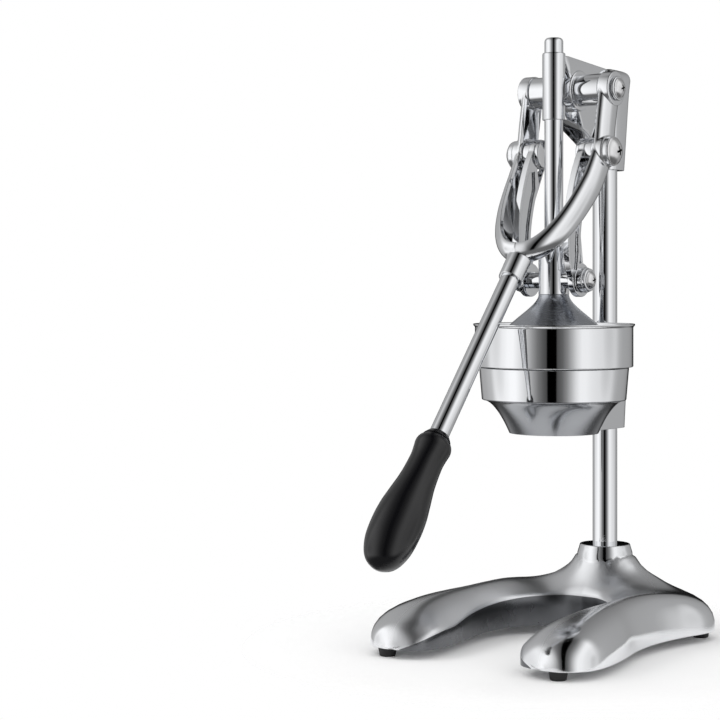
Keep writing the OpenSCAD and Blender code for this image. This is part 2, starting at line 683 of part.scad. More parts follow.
// Stations down the right arm to the middle of the bow: side, along, square to, width, thickness
bow_round = 2.25;
fork_rows = concat(
    [for (t = [0, 0.5, 1])
        [arm_x, lerp(pivot_s, 0, t), lerp(pivot_n, knee_off, t), lerp(arm_w, arm_w - 1, t) - 1, arm_t - 1]],
    [for (t = [9, 18, 30, 42, 54, 66, 78, 90])
        let (f = pow(sin(t), 2 / bow_round))
        [arm_x * pow(cos(t), 2 / bow_round), lerp(bow_start, bow_end, f),
            0.6 * knee_off * pow(1 - f, 8) + bow_lift * pow(f, 4),
            lerp(arm_w - 2, bow_w, pow(f, 1.5)), lerp(arm_t - 1, bow_t, f)]]);
fork_steps = 3;
fork_bevel = 1.6;
function fork_place(r) = let (p = on_axis(r[1], r[2])) [r[0], p[0], p[1]];
// A D-shaped section, flat and bevelled inside and rounded outside
function fork_ring(s) =
    let (last = len(fork_rows) - 1, r = smooth_row(fork_rows, s), c = fork_place(r),
         a = fork_place(smooth_row(fork_rows, max(0, s - 0.1))),
         b = s > last - 0.1 ? [-a[0], a[1], a[2]] : fork_place(smooth_row(fork_rows, s + 0.1)),
         run = unit(b - a),
         down = unit([0, b[1] - a[1] + 0.3 * along[0], b[2] - a[2] + 0.3 * along[1]]),
         wide = cross([1, 0, 0], down), out = unit(cross(wide, run)),
         w = r[3] / 2, t = r[4])
    [for (q = concat([for (f = [0 : 20 : 180]) [w * cos(f), t * (0.82 * sin(f) - 0.32)]],
        [[fork_bevel - w, -t / 2], [w - fork_bevel, -t / 2]]))
        c + wide * q[0] + out * q[1]];
module fork_sweep() {
    half = [for (k = [0 : fork_steps * (len(fork_rows) - 1)]) fork_ring(k / fork_steps)];
    last = len(half) - 1;
    rings = concat([for (k = [0 : last - 1]) half[k]], [for (k = [last : -1 : 0]) flip_x(half[k])]);
    n = len(rings[0]);
    count = len(rings);
    polyhedron(points = [for (r = rings) each r],
        faces = concat([for (k = [0 : count - 2]) each band_faces(k, n)],
            [for (j = [1 : n - 2]) [0, j + 1, j]],
            [for (j = [1 : n - 2]) [(count - 1) * n, (count - 1) * n + j, (count - 1) * n + j + 1]]));
}
// Places a piece on the handle's axis; its -Z runs down the handle
module down_handle(s) {
    p = on_axis(s);
    translate([0, p[0], p[1]]) rotate([-handle_angle, 0, 0]) children();
}
shoulder_r = 5;
socket_depth = 16;
module lever_fork() {
    outer = fork_in + arm_t;
    color(chrome) difference() {
        union() {
            fork_sweep();
            for (x = [-outer, fork_in]) {
                cross_bar(pivot, x, x + arm_t, arm_w / 2);
                cross_bar(knee, x, x + arm_t, arm_w / 2 - 1);
            }
            cross_bar(knee, -outer - knee_boss_h, -fork_in, knee_boss_r);
            cross_bar(knee, fork_in, outer + knee_boss_h, knee_boss_r);
            down_handle(socket_reach)
                cylinder(r1 = socket_r, r2 = socket_r + 0.4, h = socket_reach - bow_end + bow_t / 3);
        }
        for (x = [-outer - 6, fork_in - 2]) {
            cross_bar(pivot, x, x + arm_t + 8, shoulder_r + run_gap);
            cross_bar(knee, x, x + arm_t + 8, knee_pin_r + run_gap);
        }
        down_handle(socket_reach) translate([0, 0, -1])
            cylinder(r = bar_d / 2 + run_gap, h = socket_depth + 1);
    }
}
bar_in_grip = 62;
module handle_bar() {
    length = socket_depth - side_gap + bar_show + bar_in_grip;
    color(chrome) down_handle(socket_reach - socket_depth + side_gap)
        translate([0, 0, -length]) cylinder(r = bar_d / 2, h = length);
}
// Half outline of the grip: distance down from the bar, radius
grip_rows = [[0, bar_d / 2 + 0.8], [3.4, bar_d / 2 + 3.1], [3.8, bar_d / 2 + 2.8],
    [7, grip_shoulder_r - 0.9], [10.5, grip_shoulder_r], [15, grip_shoulder_r - 0.5],
    [21, grip_waist_r], [29, grip_waist_r + 0.2], [grip_len - 70, grip_waist_r + 1.2],
    [grip_len - 57, grip_r - 2.3], [grip_len - 46, grip_r - 0.6], [grip_len - 34, grip_r],
    [grip_len - 21, grip_r - 0.8], [grip_len - 11.5, grip_r - 3.4], [grip_len - 5.5, grip_r - 7],
    [grip_len - 1.6, grip_r - 12.5], [grip_len, 0]];
module grip() {
    color(rubber) down_handle(socket_reach + bar_show) difference() {
        rotate_extrude() polygon(concat([[0, 0]], [for (k = [0 : 2 * (len(grip_rows) - 1)])
            let (p = smooth_row(grip_rows, k / 2)) [max(0, p[1]), -p[0]]]));
        translate([0, 0, -bar_in_grip - side_gap]) cylinder(r = bar_d / 2 + run_gap, h = bar_in_grip + 1);
    }
}

// Pivot screws and washers
washer_r = 9.3;
pivot_washer_t = 2.2;
pivot_head_r = 7.7;
pivot_head_h = 3.6;
pivot_face = fork_in + arm_t + side_gap;
module pivot_screw_right() {
    face = pivot_face + pivot_washer_t;
    color(steel) face_right(pivot, face)
        domed_screw(pivot_head_r, pivot_head_h, screw_thread_r - run_gap,
            face - tube_half + thread_depth - 2, shoulder_r, face - tube_half);
}
module pivot_washer_right() {
    color(steel) difference() {
        cross_bar(pivot, pivot_face, pivot_face + pivot_washer_t, washer_r);
        cross_bar(pivot, pivot_face - 1, pivot_face + pivot_washer_t + 1, shoulder_r + run_gap);
    }
}
module pivot_screw_left() { on_left() pivot_screw_right(); }
module pivot_washer_left() { on_left() pivot_washer_right(); }

// Links
link_line = knee - toe;
link_ahead = [-link_line[1], link_line[0]] / norm(link_line);
link_curve = [toe, toe + 0.08 * link_line + 1.43 * link_bow * link_ahead,
    toe + 0.72 * link_line + 1.24 * link_bow * link_ahead, knee];
link_out = link_in + link_t;
toe_face = link_out + toe_boss_h;
toe_screw_r = 3;
// A strip along the link's curve, narrowing downwards, with an edge of width rim left out
module link_strip(rim = 0) {
    function side(t, k) = let (run = unit(bez(link_curve, t + 0.01) - bez(link_curve, t - 0.01)))
        bez(link_curve, t) + k * (lerp(link_low_w, link_w, t) / 2 - rim) * [run[1], -run[0]];
    steps = [for (i = [0 : 20]) i / 20];
    polygon(concat([for (t = steps) side(t, 1)], [for (i = [20 : -1 : 0]) side(steps[i], -1)]));
}
module link_right() {
    sunk = (link_t - link_web) / 2;
    color(chrome) difference() {
        union() {
            slab(link_in, link_out) {
                link_strip();
                translate(knee) circle(link_eye_r);
                translate(toe) circle(link_toe_r);
            }
            cross_bar(knee, link_in - link_boss_in, fork_in - side_gap, link_boss_r);
            cross_bar(toe, link_in, toe_face, toe_boss_r);
        }
        for (x = [link_in - 1, link_out - sunk])
            slab(x, x + sunk + 1) difference() {
                link_strip(link_rim);
                translate(knee) circle(link_eye_r + 6.5);
                translate(toe) circle(link_toe_r + 2);
            }
        cross_bar(knee, link_in - link_boss_in - 1, fork_in, knee_pin_r);
        cross_bar(toe, link_in - 1, toe_face + 1, toe_screw_r);
    }
}
module link_left() { on_left() link_right(); }
knee_head_r = 10.5;
knee_head_h = 5;
module link_bolt_right() {
    face = fork_in + arm_t + knee_boss_h + side_gap;
    color(steel) face_right(knee, face)
        domed_screw(knee_head_r, knee_head_h, knee_pin_r, face - link_in + link_boss_in - 0.8);
}
module link_bolt_left() { on_left() link_bolt_right(); }
toe_washer_t = 2.4;
toe_washer_r = 8.6;
toe_head_r = 6.6;
toe_head_h = 3.6;
module link_washer_right() {
    color(steel) difference() {
        cross_bar(toe, toe_face, toe_face + toe_washer_t, toe_washer_r);
        cross_bar(toe, toe_face - 1, toe_face + toe_washer_t + 1, toe_screw_r);
    }
}
module link_washer_left() { on_left() link_washer_right(); }
module link_screw_right() {
    color(steel) face_right(toe, toe_face + toe_washer_t)
        domed_screw(toe_head_r, toe_head_h, toe_screw_r, toe_face + toe_washer_t - link_in);
}
module link_screw_left() { on_left() link_screw_right(); }

base_casting();
foot_front_left();
foot_front_right();
foot_rear_left();
foot_rear_right();
foot_screws();
post_tube();
post_plug();
post_bolt();
post_washer();
head_casting();
head_set_screws();
bowl_holder();
holder_set_screw();
juice_bowl();
strainer_cone();
pivot_screw_left();
pivot_screw_right();
pivot_washer_left();
pivot_washer_right();
lever_fork();
handle_bar();
grip();
link_left();
link_right();
link_bolt_left();
link_bolt_right();
link_screw_left();
link_screw_right();
link_washer_left();
link_washer_right();
plunger_rod();
crosshead();
press_bell();
bell_nut();
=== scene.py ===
# %% [markdown]
# # A bench lever press for citrus
# The press stands on a horseshoe base. A post carries a bowl and a head, and a long lever pulls
# a rod and a bell down on the fruit. Nearly all of it is chrome, so the picture lives on clean
# curves and on what they mirror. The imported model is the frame: every piece made here sits
# where its solid sits, and rides on the same body.

# %% Load the frame
import json
import math
import bpy
import bmesh
from mathutils import Matrix, Vector


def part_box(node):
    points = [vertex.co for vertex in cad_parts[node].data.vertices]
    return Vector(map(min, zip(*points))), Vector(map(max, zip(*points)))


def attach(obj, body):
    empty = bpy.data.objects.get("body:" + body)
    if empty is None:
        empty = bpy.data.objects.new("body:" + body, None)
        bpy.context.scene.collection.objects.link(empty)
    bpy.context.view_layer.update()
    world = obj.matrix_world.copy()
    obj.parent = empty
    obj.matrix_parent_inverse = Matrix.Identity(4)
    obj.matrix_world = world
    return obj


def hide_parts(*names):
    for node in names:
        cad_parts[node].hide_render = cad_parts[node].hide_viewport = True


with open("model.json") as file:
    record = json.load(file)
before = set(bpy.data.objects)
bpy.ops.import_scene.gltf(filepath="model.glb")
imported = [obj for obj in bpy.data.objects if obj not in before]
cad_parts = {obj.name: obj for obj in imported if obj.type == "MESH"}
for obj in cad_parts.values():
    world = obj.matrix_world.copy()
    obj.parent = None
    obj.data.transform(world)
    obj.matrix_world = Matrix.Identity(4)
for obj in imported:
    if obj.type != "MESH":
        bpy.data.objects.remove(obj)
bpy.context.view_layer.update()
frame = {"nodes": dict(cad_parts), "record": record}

BODY_OF = {node: body for body, nodes in frame["record"]["behaviour"]["bodies"].items() for node in nodes}
SLOT_OF = {part["node"]: part["material_slot"] for part in frame["record"]["subparts"]}

# %% [markdown]
# ## Camera
# The photograph is taken from the right of the user, level, from about a metre and a half, with
# a long lens. The press stands low in the frame. A camera tilted upwards would also do that, but
# uprights would lean, so the camera stays level and its lens is shifted.

# %% Camera
TURN = math.radians(37.45)
camera_data = bpy.data.cameras.new("camera")
camera_data.lens = 98.91
camera_data.sensor_width = 36
camera_data.shift_y = -0.1079
camera = bpy.data.objects.new("camera", camera_data)
camera.location = (0.7851, -1.2636, 0.2711)
camera.rotation_euler = (math.pi / 2, 0, TURN)
bpy.context.scene.collection.objects.link(camera)
bpy.context.scene.camera = camera

# %% [markdown]
# ## Helpers for shapes
# All sizes here are in millimetres, as on a drawing. `add_piece` turns a finished bmesh into an
# object in metres: it closes the seams, turns the faces outwards, shades them smooth up to a
# chosen angle, and hands the piece to its body.

# %% From bmesh to piece
def tidy_shell(bm, angle):
    bmesh.ops.remove_doubles(bm, verts=bm.verts, dist=1e-3)
    bmesh.ops.recalc_face_normals(bm, faces=bm.faces)
    for face in bm.faces:
        face.smooth = True
    for edge in bm.edges:
        edge.smooth = edge.is_manifold and edge.calc_face_angle(0) < math.radians(angle)


def add_piece(bm, name, finish, nodes, angle=32, second=None):
    """Turns a bmesh into a piece. Faces with material index 1 take the second finish."""
    tidy_shell(bm, angle)
    mesh = bpy.data.meshes.new(name)
    bm.to_mesh(mesh)
    bm.free()
    mesh.transform(Matrix.Scale(0.001, 4))
    piece = bpy.data.objects.new(name, mesh)
    bpy.context.scene.collection.objects.link(piece)
    for skin in [finish] + ([second] if second else []):
        mesh.materials.append(skin)
    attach(piece, BODY_OF[nodes[0]])
    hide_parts(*nodes)
    low, high = (Vector([f(v.co[i] for v in mesh.vertices) for i in range(3)]) for f in (min, max))
    print(f"{name}: {len(mesh.polygons)} faces, {[round(1000 * s, 1) for s in high - low]} mm")
    return piece

# %% [markdown]
# A turned piece is an outline spun round its axis. The outline is a chain of points, given as
# radius and distance along the axis, and `place` puts that axis where the piece needs it. Ready
# cylinders could be stacked instead, but one outline holds every step and rounded rim at once.

# %% Turned pieces
UPRIGHT = Matrix.Identity(4)


def across(point, x=0, side=1):
    """An axis from side to side through a pivot (back, up), starting at x and going outwards."""
    return Matrix.Translation((side * x, *point)) @ Matrix.Rotation(side * math.pi / 2, 4, "Y")


def lathe(bm, outline, place=UPRIGHT, steps=96):
    chain = [bm.verts.new(place @ Vector((r, 0, z))) for r, z in outline]
    edges = [bm.edges.new(pair) for pair in zip(chain, chain[1:])]
    axis = place.to_3x3() @ Vector((0, 0, 1))
    bmesh.ops.spin(bm, geom=chain + edges, cent=place.translation, axis=axis, angle=math.tau,
                   steps=steps, use_merge=True)


def arc(centre_r, centre_z, radius, start, stop, steps=6):
    """Points of a rounded corner, from one angle to the other, in degrees."""
    turns = [math.radians(start + (stop - start) * i / steps) for i in range(steps + 1)]
    return [(centre_r + radius * math.cos(t), centre_z + radius * math.sin(t)) for t in turns]


def disc(radius, low, high, round_low=0.5, round_high=0.5):
    """Outline of a round bar or disc whose two rims are rounded."""
    return ([(0, low)] + arc(radius - round_low, low + round_low, round_low, -90, 0)
            + arc(radius - round_high, high - round_high, round_high, 0, 90) + [(0, high)])


def bezier(points, steps):
    """Points along the curve that a few control points pull into shape."""
    out = []
    for i in range(steps + 1):
        level, t = [Vector(p) for p in points], i / steps
        while len(level) > 1:
            level = [a.lerp(b, t) for a, b in zip(level, level[1:])]
        out.append(level[0])
    return out

# %% [markdown]
# A casting with a changing section is swept: the first ring of points is extruded again and
# again, and each new ring is moved to its place. Between stations, the sizes follow a smooth
# curve through the rows of a table. A curve object with a bevel could do part of this, but its
# section can't change from round to flat along the way.

# %% Swept pieces
def between(rows, s):
    """Smooth curve through the rows, at station s."""
    i = min(int(s), len(rows) - 2)
    t = s - i
    a, b, c, d = (rows[max(0, min(len(rows) - 1, k))] for k in (i - 1, i, i + 1, i + 2))
    return [(2 * q + (r - p) * t + (2 * p - 5 * q + 4 * r - u) * t * t + (3 * q - p - 3 * r + u) * t ** 3) / 2
            for p, q, r, u in zip(a, b, c, d)]


def sweep(bm, rings, cap_first=True, cap_last=True):
    """Joins rings of points into a skin and gives back the rings of its corners."""
    ring = [bm.verts.new(p) for p in rings[0]]
    made_rings = [ring]
    edges = [bm.edges.new(pair) for pair in zip(ring, ring[1:] + ring[:1])]
    if cap_first:
        bmesh.ops.contextual_create(bm, geom=edges)
    for points in rings[1:]:
        made = set(bmesh.ops.extrude_edge_only(bm, edges=edges)["geom"])
        ring = [next(e.other_vert(v) for e in v.link_edges if e.other_vert(v) in made) for v in ring]
        for vert, point in zip(ring, points):
            vert.co = point
        made_rings.append(ring)
        edges = [bm.edges.get(pair) for pair in zip(ring, ring[1:] + ring[:1])]
    if cap_last:
        bmesh.ops.contextual_create(bm, geom=edges)
    return made_rings


def plate(bm, outline, x0, x1, bevel=0.0, segments=2):
    """A flat outline (back, up) given thickness from side to side, with rounded rims."""
    face = bmesh.ops.contextual_create(bm, geom=[bm.verts.new((x0, *p)) for p in outline])["faces"]
    made = bmesh.ops.extrude_face_region(bm, geom=face, use_keep_orig=True)["geom"]
    bmesh.ops.translate(bm, vec=(x1 - x0, 0, 0), verts=[v for v in made if isinstance(v, bmesh.types.BMVert)])
    caps = face + [f for f in made if isinstance(f, bmesh.types.BMFace)]
    if bevel:
        rims = list({e for f in caps for e in f.edges})
        bmesh.ops.bevel(bm, geom=rims, offset=bevel, affect="EDGES", segments=segments, profile=0.5,
                        material=-1, clamp_overlap=True)


def mirrored(bm):
    """Adds the left half of a piece whose right half is drawn."""
    bmesh.ops.mirror(bm, geom=bm.verts[:] + bm.edges[:] + bm.faces[:], axis="X", merge_dist=1e-3)

# %% [markdown]
# Openings are cut with an exact boolean: the tool is a second bmesh, and what is left after the
# cut comes back as a bmesh to go on with.

# %% Boolean of two shapes
def combine(bm, tool, operation="DIFFERENCE"):
    objects = []
    for source in (bm, tool):
        bmesh.ops.remove_doubles(source, verts=source.verts, dist=1e-3)
        bmesh.ops.recalc_face_normals(source, faces=source.faces)
        mesh = bpy.data.meshes.new("work")
        source.to_mesh(mesh)
        source.free()
        objects.append(bpy.data.objects.new("work", mesh))
        bpy.context.scene.collection.objects.link(objects[-1])
    cut = objects[0].modifiers.new("cut", "BOOLEAN")
    cut.operation, cut.solver, cut.object = operation, "EXACT", objects[1]
    cut.use_self = True
    done = bmesh.new()
    done.from_mesh(objects[0].evaluated_get(bpy.context.evaluated_depsgraph_get()).to_mesh())
    for work in objects:
        mesh = work.data
        bpy.data.objects.remove(work)
        bpy.data.meshes.remove(mesh)
    return done

# %% [markdown]
# ## Helpers for finishes
# A finish is a small network of shader nodes. `Value` wraps a socket so that its maths reads as
# plain Python, and `Finish` makes the nodes.

# %% Shader maths
class Value:
    """The output of a shader node, with arithmetic."""

    def __init__(self, finish, socket):
        self.finish, self.socket = finish, socket

    def _maths(self, operation, first, second):
        return self.finish.node("ShaderNodeMath", {"operation": operation}, {0: first, 1: second})

    def __add__(self, other):
        return self._maths("ADD", self, other)

    __radd__ = __add__

    def __mul__(self, other):
        return self._maths("MULTIPLY", self, other)

    __rmul__ = __mul__

    def __sub__(self, other):
        return self._maths("SUBTRACT", self, other)

    def __rsub__(self, other):
        return self._maths("SUBTRACT", other, self)

    def __pow__(self, other):
        return self._maths("POWER", self, other)


class Finish:
    def __init__(self, owner):
        self.tree = owner.node_tree
        self.tree.nodes.clear()

    def node(self, kind, settings=None, inputs=None, output=0):
        made = self.tree.nodes.new(kind)
        for key, value in (settings or {}).items():
            if key == "stops":
                ramp = made.color_ramp
                while len(ramp.elements) < len(value):
                    ramp.elements.new(0.5)
                for stop, (place, shade) in zip(ramp.elements, value):
                    stop.position, stop.color = place, (shade, shade, shade, 1)
            else:
                setattr(made, key, value)
        for key, value in (inputs or {}).items():
            if isinstance(value, Value):
                self.tree.links.new(value.socket, made.inputs[key])
            else:
                made.inputs[key].default_value = value
        return Value(self, made.outputs[output]) if made.outputs else None


def metal(name, shade, rough, waviness=0.0, streaks=0.0, variation=0.02, edge=0.0, soft=0.0):
    """A bare or plated metal: its mirror colour and how soft it mirrors, with waves left by
    polishing, brush lines, rounded edges, and more softness where the piece's own `soft` says so."""
    owner = bpy.data.materials.new(name)
    owner.use_nodes = True
    f = Finish(owner)
    place = f.node("ShaderNodeTexCoord", output="Object")
    broad = f.node("ShaderNodeTexNoise", {}, {"Vector": place, "Scale": 35.0, "Detail": 3.0}, "Fac")
    roughness = rough * (1 - variation * 4) + broad * (rough * variation * 8)
    inputs = {"Base Color": (*shade, 1), "Metallic": 1.0}
    height = None
    if waviness:
        waves = f.node("ShaderNodeTexNoise", {}, {"Vector": place, "Scale": 60.0, "Detail": 1.0}, "Fac")
        height = waves * waviness
    if streaks:
        thin = f.node("ShaderNodeMapping", {}, {"Vector": place, "Scale": (60.0, 60.0, 2600.0)})
        lines = f.node("ShaderNodeTexNoise", {}, {"Vector": thin, "Scale": 1.0, "Detail": 4.0}, "Fac")
        roughness = roughness + (lines - 0.5) * (rough * 0.8)
        height = lines * streaks
    rounded = f.node("ShaderNodeBevel", {"samples": 4}, {"Radius": edge}) if edge else None
    if height:
        extra = {"Normal": rounded} if rounded else {}
        inputs["Normal"] = f.node("ShaderNodeBump", {}, {
            "Height": height, "Strength": 1.0, "Distance": 0.001, **extra})
    elif rounded:
        inputs["Normal"] = rounded
    if soft:
        roughness = roughness + f.node("ShaderNodeAttribute", {"attribute_name": "soft"}, output="Fac") * soft
    inputs["Roughness"] = roughness
    skin = f.node("ShaderNodeBsdfPrincipled", {}, inputs)
    f.node("ShaderNodeOutputMaterial", {}, {"Surface": skin})
    return owner

# %% [markdown]
# ## Finishes of the press
# The castings and turned pieces are polished and chromed: nearly white, with a mirror that is
# only a little soft. The castings keep slight waves from the polishing wheel, which doesn't reach
# the hollow of the base, its inner wall or the funnel, so these stay satin. The inner wall and the
# funnel also get a much darker colour, which is painted shade. The bell and the bowl are spun
# sheet, with fine lines round them. Screw heads are nickel. Pictures of metal could be laid on the
# pieces, but noise in the pieces' own coordinates has no seams.

# %% Metals
chrome_cast = metal("chrome_cast", (0.86, 0.87, 0.89), 0.05, waviness=0.03, edge=0.0009)
chrome_bar = metal("chrome_bar", (0.86, 0.87, 0.89), 0.035)
bowl_steel = metal("bowl_steel", (0.84, 0.85, 0.87), 0.045, streaks=0.0012)
bell_satin = metal("bell_satin", (0.48, 0.5, 0.54), 0.26, streaks=0.004)
chrome_base = metal("chrome_base", (0.86, 0.87, 0.89), 0.08, waviness=0.004, edge=0.0009, soft=0.24)
# Satin for the base's inner wall; its dark colour is painted shade in the hollow
inner_satin_and_painted_shade = metal("inner_satin_and_painted_shade", (0.17, 0.175, 0.185), 0.28, variation=0.05)
# Satin for the holder's faces that look down; its darker colour is painted shade under the bowl
funnel_satin_and_painted_shade = metal("funnel_satin_and_painted_shade", (0.38, 0.39, 0.41), 0.15, variation=0.05, edge=0.0005)
nickel = metal("screw_nickel", (0.78, 0.78, 0.79), 0.2, edge=0.0003)
zinc = metal("steel_hardware", (0.6, 0.61, 0.63), 0.35, variation=0.06)
# Dark hardware; the same finish is the painted shade inside the screws' cross recesses
dark_oxide_and_recess_shade = metal("dark_hardware", (0.04, 0.04, 0.045), 0.4, variation=0.06)


def moulded(name, shade, rough, coat, grain, scale):
    """Black rubber or plastic, with the fine grain of its mould."""
    owner = bpy.data.materials.new(name)
    owner.use_nodes = True
    f = Finish(owner)
    place = f.node("ShaderNodeTexCoord", output="Object")
    fine = f.node("ShaderNodeTexNoise", {}, {"Vector": place, "Scale": scale, "Detail": 4.0}, "Fac")
    broad = f.node("ShaderNodeTexNoise", {}, {"Vector": place, "Scale": 40.0}, "Fac")
    bump = f.node("ShaderNodeBump", {}, {"Height": fine * grain, "Strength": 1.0, "Distance": 0.001})
    skin = f.node("ShaderNodeBsdfPrincipled", {}, {
        "Base Color": (*shade, 1), "Roughness": rough * 0.8 + broad * (rough * 0.4), "Normal": bump,
        "Coat Weight": coat, "Coat Roughness": 0.06})
    f.node("ShaderNodeOutputMaterial", {}, {"Surface": skin})
    return owner


rubber = moulded("foot_rubber", (0.02, 0.02, 0.021), 0.75, 0.0, 0.08, 900.0)
grip_black = moulded("grip_black", (0.004, 0.004, 0.005), 0.17, 0.05, 0.01, 500.0)

# %% [markdown]
# The strainer and the screws hidden under the base and behind the castings keep their solids from
# the frame. They could be made anew, but hardly anything of them is seen, so each solid only gets
# its finish.

# %% Finishes of the solids that stay
FINISH_OF_SLOT = {"chrome_cast": chrome_cast, "chrome_bar": chrome_bar, "bowl_steel": bowl_steel,
                  "bell_satin": bell_satin, "screw_nickel": nickel, "steel_hardware": zinc,
                  "dark_hardware": dark_oxide_and_recess_shade, "foot_rubber": rubber, "grip_black": grip_black}
for node, solid in frame["nodes"].items():
    solid.data.materials.clear()
    solid.data.materials.append(FINISH_OF_SLOT[SLOT_OF[node]])

# %% [markdown]
# ## Base
# The base is one hollow casting in the shape of a horseshoe. Its section changes all the way
# round: wide and low at the toes, narrow at the sides, and deep at the back, where it rises into
# the boss for the post. It could be a coarse cage under a subdivision modifier, but a sweep keeps
# the sizes of the drawing and makes the cavity in the same way. The right half is swept through
# fourteen stations and then mirrored.

# %% Base sections
POST_BACK, BOSS_R, BOSS_TOP, FOOT_H, BASE_WALL = 75, 19.5, 68, 7, 4.5
# Inner edge x, y; outer edge x, y; height of the inner edge; height of the ridge; ridge across
BASE_ROWS = [
    (0, 41, 0, 105, 32, 44, 0.52), (13, 39.5, 36, 107, 32, 43, 0.52), (23, 35, 68, 108.5, 31.5, 39, 0.45),
    (31, 28.5, 85, 95, 31, 38, 0.4), (38, 19, 87.5, 76, 30.5, 39, 0.42),
    (43.5, 8, 82, 48, 29.5, 40.5, 0.45), (46.5, -7, 79, 17, 28.5, 41, 0.44),
    (46.5, -26, 81.5, -17, 27, 40.5, 0.43), (43, -49, 89, -48, 25, 40, 0.42),
    (39, -73, 94, -76, 21, 38, 0.42), (37, -91, 94.5, -96, 20, 34.5, 0.42),
    (38.5, -104.5, 90, -109, 17.5, 29, 0.44), (45.5, -115, 80.5, -118.5, 13, 21.5, 0.47),
    (57, -120, 67, -121.5, 8, 11, 0.5)]
SHOULDER = 2.5
HUB_RISE, HUB_SPREAD, FLARE_RISE, FLARE_FALL = 7, 46, 20, 6
LIP = 0.9
FOOT_X, FOOT_FRONT, FOOT_REAR = 72.5, -111, 95
PAD_R, PAD_TIP_R, PAD_FRONT_H, PAD_REAR_H = 6.9, 3.8, 5.5, 12


def skin_height(u, inner, ridge, top):
    """The slope up to the ridge, and the round shoulder down to the outer edge."""
    if u < top:
        return inner + (ridge - inner) * (1 - (1 - u / top) ** 2)
    rest = max(0, 1 - ((u - top) / (1 - top)) ** SHOULDER)
    return FOOT_H + (ridge - FOOT_H) * rest ** (1 / SHOULDER)


def base_section(row, inset, n=9):
    """One station from the foot of the inner wall over the ridge to the outer edge."""
    a, b = Vector(row[0:2]), Vector(row[2:4])
    across_skin = (b - a).length
    cut = min(inset, across_skin * 0.3) / across_skin
    p, q = a.lerp(b, cut), b.lerp(a, cut)
    inner, ridge, top = max(row[4] - inset, FOOT_H + 0.2), max(row[5] - inset, FOOT_H + 0.3), row[6]
    places = [LIP / across_skin] + [top * i / n for i in range(1, n)]
    places += [top + (1 - top) * math.sin(math.pi / 2 * i / n) ** (2 / SHOULDER) for i in range(n + 1)]
    lip = max(FOOT_H + 0.1, inner - 1)
    points = [(p.x, p.y, z) for z in (FOOT_H, FOOT_H + 0.6 * (lip - FOOT_H), lip)]
    for u in places:
        at = p.lerp(q, u)
        d = (at - Vector((0, POST_BACK))).length
        hub = HUB_RISE * math.exp(-(d / HUB_SPREAD) ** 4) * min(1, 2 * u, 3 * (1 - u))
        flare = FLARE_RISE * math.exp((BOSS_R - max(d, BOSS_R)) / FLARE_FALL) * min(1, 6 * (1 - u))
        height = skin_height(u, inner, ridge, top) + hub + (0 if inset else flare)
        points.append((at.x, at.y, min(BOSS_TOP - 7, height)))
    return points


# %% Base and boss
bm = bmesh.new()
stations = [between(BASE_ROWS, s / 6) for s in range(6 * (len(BASE_ROWS) - 1) + 1)]
sections = [base_section(row, 0) + base_section(row, BASE_WALL)[::-1] for row in stations]
# The slope inside the ridge stays satin, and the mirror begins just past the ridge
softness = [1] * 10 + [0.85, 0.55, 0.2, 0.05]
soft = bm.verts.layers.float.new("soft")
for ring in sweep(bm, sections, cap_first=False):
    for vert, amount in zip(ring[2:], softness):
        vert[soft] = amount
mirrored(bm)
boss = ([(0, 15), (16, 15), (16, 40), (BOSS_R + 3, 46), (BOSS_R + 1.7, 61.5), (BOSS_R + 0.6, 65)]
        + arc(BOSS_R - 0.8, BOSS_TOP - 0.8, 0.8, 0, 90) + [(0, BOSS_TOP)])
lathe(bm, boss, Matrix.Translation((0, POST_BACK, 0)), 128)
for side in (-1, 1):
    for back, height in ((FOOT_FRONT, PAD_FRONT_H), (FOOT_REAR, PAD_REAR_H)):
        pad = [(0, FOOT_H), (PAD_R, FOOT_H), (PAD_R, FOOT_H + 0.3 * height),
               (PAD_TIP_R, FOOT_H + height), (0, FOOT_H + height)]
        lathe(bm, pad, Matrix.Translation((side * FOOT_X, back, 0)), 32)
bmesh.ops.remove_doubles(bm, verts=bm.verts, dist=1e-3)
bmesh.ops.recalc_face_normals(bm, faces=bm.faces)
for face in bm.faces:
    # The inner wall of the horseshoe stands upright and looks into the opening. Its dark satin colour is painted shade
    middle = face.calc_center_median()
    looks_in = face.normal.x * middle.x + face.normal.y * max(0, middle.y + 20) < 0
    face.material_index = int(abs(face.normal.z) < 0.01 and looks_in and abs(middle.x) < 56 and middle.y < 42)
add_piece(bm, "horseshoe_base", chrome_base, ["base_casting"], angle=50, second=inner_satin_and_painted_shade)

# %% [markdown]
# ## Feet
# Four rubber feet stop the press from sliding. They are short tapered discs with a rounded lower
# rim and a recess for a screw. Plain cylinders would pass from afar, but the taper shows at the
# edge of the base, so they are turned.

# %% Feet
for node in ("foot_front_left", "foot_front_right", "foot_rear_left", "foot_rear_right"):
    low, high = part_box(node)
    centre = (low + high) * 500
    bm = bmesh.new()
    lathe(bm, [(3.2, 3), (3.2, 0)] + arc(4.9, 0.9, 0.9, -90, 0) + [(6.95, FOOT_H), (1.8, FOOT_H)],
          Matrix.Translation((centre.x, centre.y, 0)), 48)
    add_piece(bm, "rubber_" + node, rubber, [node])

# %% [markdown]
# ## Post
# The post is a polished tube. It could be bored like the real one, but its ends are inside the
# base and the head, so a plain turned outline is enough. It has many steps, so that the mirror
# stripe stays straight.

# %% Post
post_low, post_high = (1000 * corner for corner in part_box("post_tube"))
bm = bmesh.new()
lathe(bm, disc(9.5, post_low.z, post_high.z), Matrix.Translation((0, POST_BACK, 0)), 128)
add_piece(bm, "post", chrome_bar, ["post_tube"])

# %% [markdown]
# ## Bowl holder
# One casting again: a boss on the post, a short thick arm, and a band with a funnel under it.
# It could be swept as one form, but the band has to be exactly round where the bowl sits. So the
# funnel and band are turned, the arm runs into them, and a turned core is cut out of both, so the
# arm doesn't show inside the funnel.

